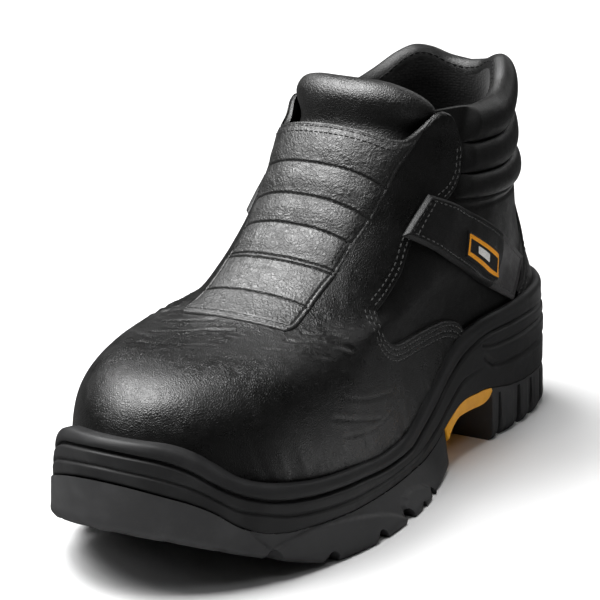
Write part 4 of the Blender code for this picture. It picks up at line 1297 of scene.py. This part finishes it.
def label_piece(strap_shape):
    """Woven label on the lateral strap: a plain coloured border round a dark field with a pale block."""
    columns, rows = np.linspace(*LABEL_ALONG, LABEL_MESH[0]), np.linspace(*LABEL_ACROSS, LABEL_MESH[1])
    u, v = np.meshgrid(columns, rows, indexing="ij")
    off_middle = u - sum(LABEL_ALONG) / 2
    slanted = u + (LABEL_SLANT + LABEL_SPREAD * off_middle) * (0.5 - v)
    base, normal = on_last(*strap_place(slanted, v, 1)[:2])
    flat = strap_shape["base"].reshape(-1, 3)
    under = np.empty(u.shape)
    for i in range(u.shape[0]):
        near = ((base[i][:, None, :] - flat[None]) ** 2).sum(-1).argmin(1)
        under[i] = strap_shape["out"].ravel()[near]
    along = (u - LABEL_ALONG[0]) / (LABEL_ALONG[1] - LABEL_ALONG[0])
    over = (v - LABEL_ACROSS[0]) / (LABEL_ACROSS[1] - LABEL_ACROSS[0])
    away = np.minimum(LABEL_WIDTH * np.minimum(over, 1 - over), LABEL_LENGTH * np.minimum(along, 1 - along))
    out = under + 0.85 * rounded_edge(away, 0.7) - 0.15
    rib = bell(away, sum(LABEL_BORDER) / 2, 0.8)
    centre = blend(along, 0.25, 0.29) * (1 - blend(along, 0.60, 0.64)) * blend(over, 0.36, 0.42)
    centre = centre * (1 - blend(over, 0.62, 0.68))
    out = out + 0.22 * rib + 0.2 * centre
    grid = raised(base, normal, out)
    face_away, face_centre = [(field[:-1, :-1] + field[1:, 1:]) / 2 for field in (away, centre)]
    border = (face_away > LABEL_BORDER[0]) & (face_away < LABEL_BORDER[1])
    looks = np.where(border, 1, np.where(face_centre > 0.5, 2, 0)).ravel()
    faces = grid_faces(*grid.shape[:2])
    make_piece("woven_label", grid, faces, ["label", "orange", "pale"], ("label",), looks)


# Moulded features of the sole's side: station and height along each line, in mm.
HEEL_GAPS = ((72.0, 3.6, 19.5), (54.5, 3.6, 19.0), (41.5, 3.4, 19.0), (28.0, 3.4, 18.0), (14.0, 3.2, 15.0))
LUG_NOTCHES = ((262.5, 3.8), (234.5, 4.0), (204.5, 4.0), (180.5, 4.2), (166.0, 2.6), (153.0, 3.6))
TOE_NOTCHES = ((281.0, 1.6), (295.4, 1.5), (303.6, 1.2))
BUMPER_EDGE = {0: 0.0, 255: 6.0, 260: 11.5, 265: 15.5, 270: 20.6, 280: 40.0, 305: 60.0}
LUG_WAVES = (
    ((262.0, 14.0), (257.5, 15.25), (241.4, 16.25), (218.3, 13.25), (193.2, 7.0), (182.5, 1.0),
     (181.0, -4.0)),
    ((181.0, 6.5), (170.0, 8.5), (158.0, 6.5), (150.0, 3.0), (146.0, -4.0)),
)
HEEL_FLAMES = (
    ((85.5, 38.5), (83.9, 37.0), (78.0, 33.2), (69.8, 31.0), (55.0, 30.4), (37.4, 30.5),
     (20.0, 31.0), (6.0, 31.5)),
    ((86.5, 43.6), (84.6, 42.75), (77.0, 41.0), (67.8, 40.25), (56.0, 39.8), (45.5, 39.75),
     (22.0, 40.0), (6.0, 40.3)),
)
NOTCH_REACH = 26.0
SOLE_WALL = 0.3
# Mesh of the midsole: columns, then rows up to the ridge, the groove and the rim; columns of the treads.
MIDSOLE_COLUMNS, MIDSOLE_ROWS = 760, (18, 18, 26)
FOREFOOT_COLUMNS, HEEL_COLUMNS, INSERT_COLUMNS = 330, 230, 60
INSOLE_MESH = (200, 70)
# Half width of the moulded grooves, height of the rolled rim, how deep the shelf behind the rim lies.
SOLE_GROOVE, RIM_ROLL, SHELF_DROP = 0.6, 3.4, 2.4
SOLE_LUMPS = ((14.0, 0.12, 91),)
TREAD_LUMPS = ((11.0, 0.1, 95),)
# Fine tread: distance between its waves, and their depth.
TREAD_PITCH, TREAD_DEPTH = 13.0, 2.0
# Least height of a tread wall, at its plain edge and over its notches.
LEAST_WALL, LEAST_NOTCH_WALL = 1.5, 1.2


def side_lines(angle):
    stations, heights = table_columns(SIDE_LINES)
    return smooth(rim_station(angle), stations, heights)


def midsole_inset(station, z, lines):
    """How far the midsole's wall lies inside the outline: steps, grooves and the rolled rim."""
    tread_top, ridge, line, rim = np.moveaxis(lines, -1, 0)[..., None]
    forward = blend(station, 84, 104)
    inset = SOLE_WALL + 0.3 * forward * blend(z, ridge - 0.5, ridge + 0.5)
    inset = inset + 0.5 * blend(z, ridge + 1, line) + 0.7 * blend(z, line - 0.3, line + 0.4)
    inset = inset + 0.4 * bell(z, tread_top, SOLE_GROOVE) + forward * bell(z, ridge, SOLE_GROOVE)
    inset = inset + 2.4 * bell(z, line, SOLE_GROOVE) - 0.25 * bell(z, line + 2.2, 1.2)
    rolled = np.clip((z - rim + RIM_ROLL) / RIM_ROLL, 0, 1)
    inset = inset + 2.6 * (1 - np.sqrt(1 - rolled ** 2))
    place = np.stack(np.broadcast_arrays(station, z), -1)
    for controls in HEEL_FLAMES:
        inset = inset - blend(station, 4, 14) * groove(distance_to(place, drawn(controls, 240)), 1.8, 0.9)
    return inset + uneven(place, SOLE_LUMPS)


def midsole_piece():
    angle = np.linspace(0, 2 * math.pi, MIDSOLE_COLUMNS, endpoint=False)
    lines = side_lines(angle)
    tread_top, ridge, line, rim = lines.T
    stretches = zip((tread_top + 0.1, ridge, line), (ridge, line, rim), MIDSOLE_ROWS)
    z = np.concatenate([between(low, high, np.linspace(0, 1, count, endpoint=False))
                        for low, high, count in stretches] + [rim[:, None]], 1)
    station = rim_station(angle)[:, None]
    inset = midsole_inset(station, z, lines)
    wall = np.concatenate([sole_point(angle[:, None], inset), z[..., None]], -1)
    bite = upper_point(angle, level_at_height(angle, rim - SHELF_DROP), 0.3)
    share = np.array([0.35, 0.7, 1.0])
    shelf = between(wall[:, -1], bite, share[:, None])
    shelf[..., 2] = rim[:, None] - SHELF_DROP * share ** 1.6
    under = sole_point(angle, np.full(angle.shape, 9.0))
    floor_edge = np.concatenate([under, tread_top[:, None] + 0.1], -1)
    grid = np.concatenate([floor_edge[:, None], wall, shelf], 1)
    faces = grid_faces(*grid.shape[:2], close_rows=True)
    flat = grid.reshape(-1, 3)
    faces = turned_out(flat, faces, flat.mean(0))
    make_piece("moulded_midsole", flat, faces, ["sole"], ("midsole",))


def notch_rise(station, notches):
    """Half-round arches cut into the tread's lower edge."""
    rise = np.zeros(np.shape(station))
    for place, radius in notches:
        rise = np.maximum(rise, np.sqrt(np.clip(radius ** 2 - (station - place) ** 2, 0, None)) * 1.15)
    return rise


def gap_rise(station, gaps):
    """Upright slots between the heel's lugs."""
    rise = np.zeros(np.shape(station))
    for place, width, tall in gaps:
        off = np.abs(station - place)
        rise = np.maximum(rise, tall * (1 - blend(off, width / 2 - 0.5, width / 2 + 0.5)))
    return rise


def forefoot_rise(station, inward, x):
    cut = notch_rise(station, LUG_NOTCHES) * (1 - blend(inward, NOTCH_REACH - 8, NOTCH_REACH))
    cut = cut + notch_rise(station, TOE_NOTCHES) * (1 - blend(inward, 6, 11))
    wave = np.cos(2 * math.pi * (station + 5 * np.sin(x / 13.0)) / TREAD_PITCH)
    centre = blend(inward, NOTCH_REACH - 14, NOTCH_REACH - 8)
    return np.maximum(cut, TREAD_DEPTH * blend(wave, 0.35, 0.7) * centre)


def heel_rise(station, inward, x):
    cut = gap_rise(station, HEEL_GAPS) * (1 - blend(inward, 7, 9))
    wave = np.cos(2 * math.pi * (station + 4 * np.sin(x / 12.0)) / TREAD_PITCH)
    centre = blend(inward, 12, 18)
    return np.maximum(cut, TREAD_DEPTH * blend(wave, 0.35, 0.7) * centre)


def insert_rise(station, inward, x):
    rib = np.cos(2 * math.pi * x / 9.0)
    return 1.2 * blend(rib, 0.1, 0.6) * blend(inward, 5, 8)


def forefoot_relief(station, z, share):
    place = np.stack(np.broadcast_arrays(station, z), -1)
    bumper = blend(table_value(BUMPER_EDGE, station) - z, 0.0, 1.0) * blend(station, 258, 264)
    relief = -0.9 * bumper
    for controls in LUG_WAVES:
        line = drawn(controls, 200)
        order = np.argsort(line[:, 0])
        height = np.interp(station, line[order, 0], line[order, 1], left=-9, right=-9)
        relief = relief - 1.3 * blend(height - z, 0.0, 0.9) * (1 - bumper)
    return relief + uneven(place, TREAD_LUMPS)


def heel_relief(station, z, share):
    ribs = np.cos(2 * math.pi * (station - 63.0) / 14.0)
    return -0.4 * blend(ribs, -0.2, 0.6) * (1 - blend(share, 0.8, 0.95))


def plain_relief(station, z, share):
    return np.zeros(np.broadcast_shapes(np.shape(station), np.shape(z)))


def tread_wall(angle, bottom, rise, relief, rows):
    station = rim_station(angle)
    tread_top = side_lines(angle)[:, TREAD_TOP]
    low = np.minimum(table_value(bottom, station), tread_top - LEAST_WALL)
    rising = rise(station, np.zeros(station.shape), np.full(station.shape, 40.0))
    edge = np.minimum(low + rising, tread_top - LEAST_NOTCH_WALL)
    z = between(edge, tread_top, np.linspace(0, 1, rows) ** 1.15)
    full = (z - low[:, None]) / (tread_top - low)[:, None]
    inset = smooth(full, (0.0, 0.12, 0.45, 1.0), (2.2, 0.7, 0.3, 0.5))
    inset = inset + relief(station[:, None], z, full)
    flare = np.where(np.sin(angle) > 0, table_value(TREAD_FLARE, station), 0)
    inset = inset - (1 - full) * flare[:, None]
    return np.concatenate([sole_point(angle[:, None], inset), z[..., None]], -1)


def tread_piece(name, node, angles, bottom, rise, relief, look, rows=28, across=90, ends=(-1,)):
    """Tread piece: both side walls, the underside with its lugs and the faces where it stops."""
    lateral = tread_wall(angles, bottom, rise, relief, rows)
    medial = tread_wall(-angles, bottom, rise, relief, rows)
    share = (1 - np.cos(np.linspace(0, math.pi, across))) / 2
    share = 0.5 * share + 0.5 * np.linspace(0, 1, across)
    under = between(lateral[:, 0], medial[:, 0], share[:, None])
    station = rim_station(angles)[:, None]
    inward = np.minimum(under[..., 0].max(1, keepdims=True) - under[..., 0],
                        under[..., 0] - under[..., 0].min(1, keepdims=True))
    tread_top = side_lines(angles)[:, TREAD_TOP][:, None]
    low = np.minimum(table_value(bottom, station), tread_top - LEAST_WALL)
    under[..., 2] = np.minimum(low + rise(station, inward, under[..., 0]), tread_top - LEAST_NOTCH_WALL)
    under[:, 0], under[:, -1] = lateral[:, 0], medial[:, 0]
    grids = [lateral, medial, under]
    for end in ends:
        closing = between(lateral[end], medial[end], share[:, None])
        closing[0] = under[end]
        grids.append(closing)
    points, faces = joined(grids)
    return make_piece(name, points, faces, [look], (node,), weld=0.02)


def station_angle(station):
    return math.acos((station - HALF_LENGTH) / HALF_LENGTH)


def tread_pieces():
    front = np.linspace(0, station_angle(ARCH_FRONT), FOREFOOT_COLUMNS)
    tread_piece("forefoot_tread", "outsole_forefoot", front, FOREFOOT_BOTTOM, forefoot_rise, forefoot_relief,
                "tread")
    heel = np.linspace(math.pi, station_angle(HEEL_BREAST), HEEL_COLUMNS)
    tread_piece("heel_tread", "outsole_heel", heel, HEEL_BOTTOM, heel_rise, heel_relief,
                "tread")
    insert = np.linspace(station_angle(ARCH_FRONT - 0.3), station_angle(HEEL_BREAST + 0.3), INSERT_COLUMNS)
    tread_piece("waist_insert", "arch_insert", insert, ARCH_BOTTOM, insert_rise, plain_relief,
                "insert", 14, 90, ends=(0, -1))


def insole_piece():
    angle = np.linspace(0, math.pi, INSOLE_MESH[0])
    sides = [upper_point(side * angle, 0.0, -2.9) for side in (1, -1)]
    share = np.linspace(0, 1, INSOLE_MESH[1])
    top = between(*sides, share[:, None])
    away = np.minimum(share, 1 - share) * 2
    height = upper_base(angle, 0.0)[:, 2]
    top[..., 2] = height[:, None] + 3.8 - 1.6 * blend(away, 0.0, 0.7)
    skirt = [np.stack([top[:, edge], np.c_[top[:, edge, :2], height + 0.2]], 1) for edge in (0, -1)]
    points, faces = joined([top, *skirt], middle=(0, 0, 0))
    make_piece("cloth_insole", points, faces, ["insole"], ("insole",), weld=0.02)


vamp_shape = vamp_pieces()
quilted_panel()
shell_pieces()
collar_piece()
tongue_piece()
counter_piece()
lateral_strap = strap_piece("lateral_strap", "strap_lateral", 1)
strap_piece("medial_strap", "strap_medial", -1)
label_piece(lateral_strap)
midsole_piece()
tread_pieces()
insole_piece()
for side_sign in (1, -1):
    for row_aside in SCOOP_ROWS:
        sew(vamp_shape, on_side(SCOOP, side_sign), -side_sign * row_aside)
    for row_aside in FLAP_ROWS:
        sew(vamp_shape, on_side(flap_side(FLAP_ROW_STOP), side_sign), side_sign * row_aside)
stitch_mesh()

# Places on the floor, in metres, that stay light where the leather mirrors it: painted reflections of light.
PAINTED_REFLECTION_SPOTS = ((0.11, 0.02, 0.0), (-0.03, 0.33, 0.0))


def floor_paper():
    """Pale paper whose colour is painted near black for reflections only: a painted dark reflection in the
    leather, as black cards beside the boot would give, except at the painted bright spots.
    """
    made, tree, sockets = new_material("paper painted dark in reflections")
    speckle = add(tree, "TexNoise", {"Scale": 6.0, "Detail": 2.0}).outputs["Fac"]
    tone = mix_colour(tree, speckle, rgba((0.86, 0.86, 0.86)), rgba((0.88, 0.88, 0.88)))
    place = add(tree, "TexCoord").outputs["Object"]
    off_spots = [add(tree, "VectorMath", {0: place, 1: lit}, operation="DISTANCE").outputs["Value"]
                 for lit in PAINTED_REFLECTION_SPOTS]
    # Painted reflection: the paper turns near black for glossy rays, except near the spots.
    dark = ramp(tree, calc(tree, "MINIMUM", *off_spots), 0.05, 0.14, 0.55, 0.985)
    dark = calc(tree, "MULTIPLY", dark, add(tree, "LightPath").outputs["Is Glossy Ray"])
    wire(tree, sockets, Base_Color=mix_colour(tree, dark, tone, rgba((0.01, 0.01, 0.01))))
    sockets["Roughness"].default_value = 0.6
    return made


bpy.ops.mesh.primitive_plane_add(size=8.0, location=(0, 0, 0))
floor = bpy.context.object
floor.name = "floor"
floor.data.materials.append(floor_paper())

world = bpy.data.worlds.new("studio")
bpy.context.scene.world = world
world.use_nodes = True
backdrop = world.node_tree.nodes["Background"].inputs
backdrop["Color"].default_value = (1, 1, 1, 1)
backdrop["Strength"].default_value = 0.02


# Height above the floor that the lights face.
LIGHTS_AIM = 0.06


def soft_light(name, azimuth, elevation, distance, size, power):
    """Soft box that faces the boot; the azimuth turns from the toe towards the lateral side."""
    turn, rise = math.radians(azimuth), math.radians(elevation)
    level = distance * math.cos(rise)
    place = Vector((level * math.sin(turn), -level * math.cos(turn), distance * math.sin(rise)))
    data = bpy.data.lights.new(name, "AREA")
    data.shape = "RECTANGLE"
    data.size, data.size_y = size
    data.energy = power
    made = bpy.data.objects.new(name, data)
    made.location = place + Vector((0, 0, LIGHTS_AIM))
    made.rotation_euler = (-place).to_track_quat("-Z", "Y").to_euler()
    bpy.context.scene.collection.objects.link(made)


soft_light("soft_box_left", -81, 58, 3.0, (3.1, 1.5), 140)
soft_light("soft_box_toe_side", -50, 30, 3.2, (1.2, 0.8), 3)
soft_light("soft_box_overhead", -40, 81, 3.0, (1.6, 1.6), 82)
soft_light("soft_box_right", 62, 58, 3.2, (1.2, 0.8), 6)
soft_light("soft_box_behind", 180, 24, 3.2, (2.2, 1.3), 9)

# Camera fitted to the photo, then turned so that the boot's middle in the photo is the picture's middle.
CAMERA_PLACE = Vector((0.62347, -1.03403, 0.43417))
CAMERA_TURN = Euler([math.radians(part) for part in (73.516, 0.807, 33.756)]).to_matrix()
PHOTO_FOCUS = 2040.0
BOOT_MIDDLE = (82.0, -3.0)
lens = bpy.data.cameras.new("camera")
lens.sensor_width = 36.0
lens.lens = 190.0
camera = bpy.data.objects.new("camera", lens)
bpy.context.scene.collection.objects.link(camera)
bpy.context.scene.camera = camera
pointing = CAMERA_TURN @ Vector((*BOOT_MIDDLE, -PHOTO_FOCUS)).normalized()
side_way = pointing.cross(CAMERA_TURN @ Vector((0, 1, 0))).normalized()
camera.location = CAMERA_PLACE
camera.rotation_euler = Matrix((side_way, side_way.cross(pointing), -pointing)).transposed().to_euler()
bpy.context.scene.view_settings.view_transform = "Standard"
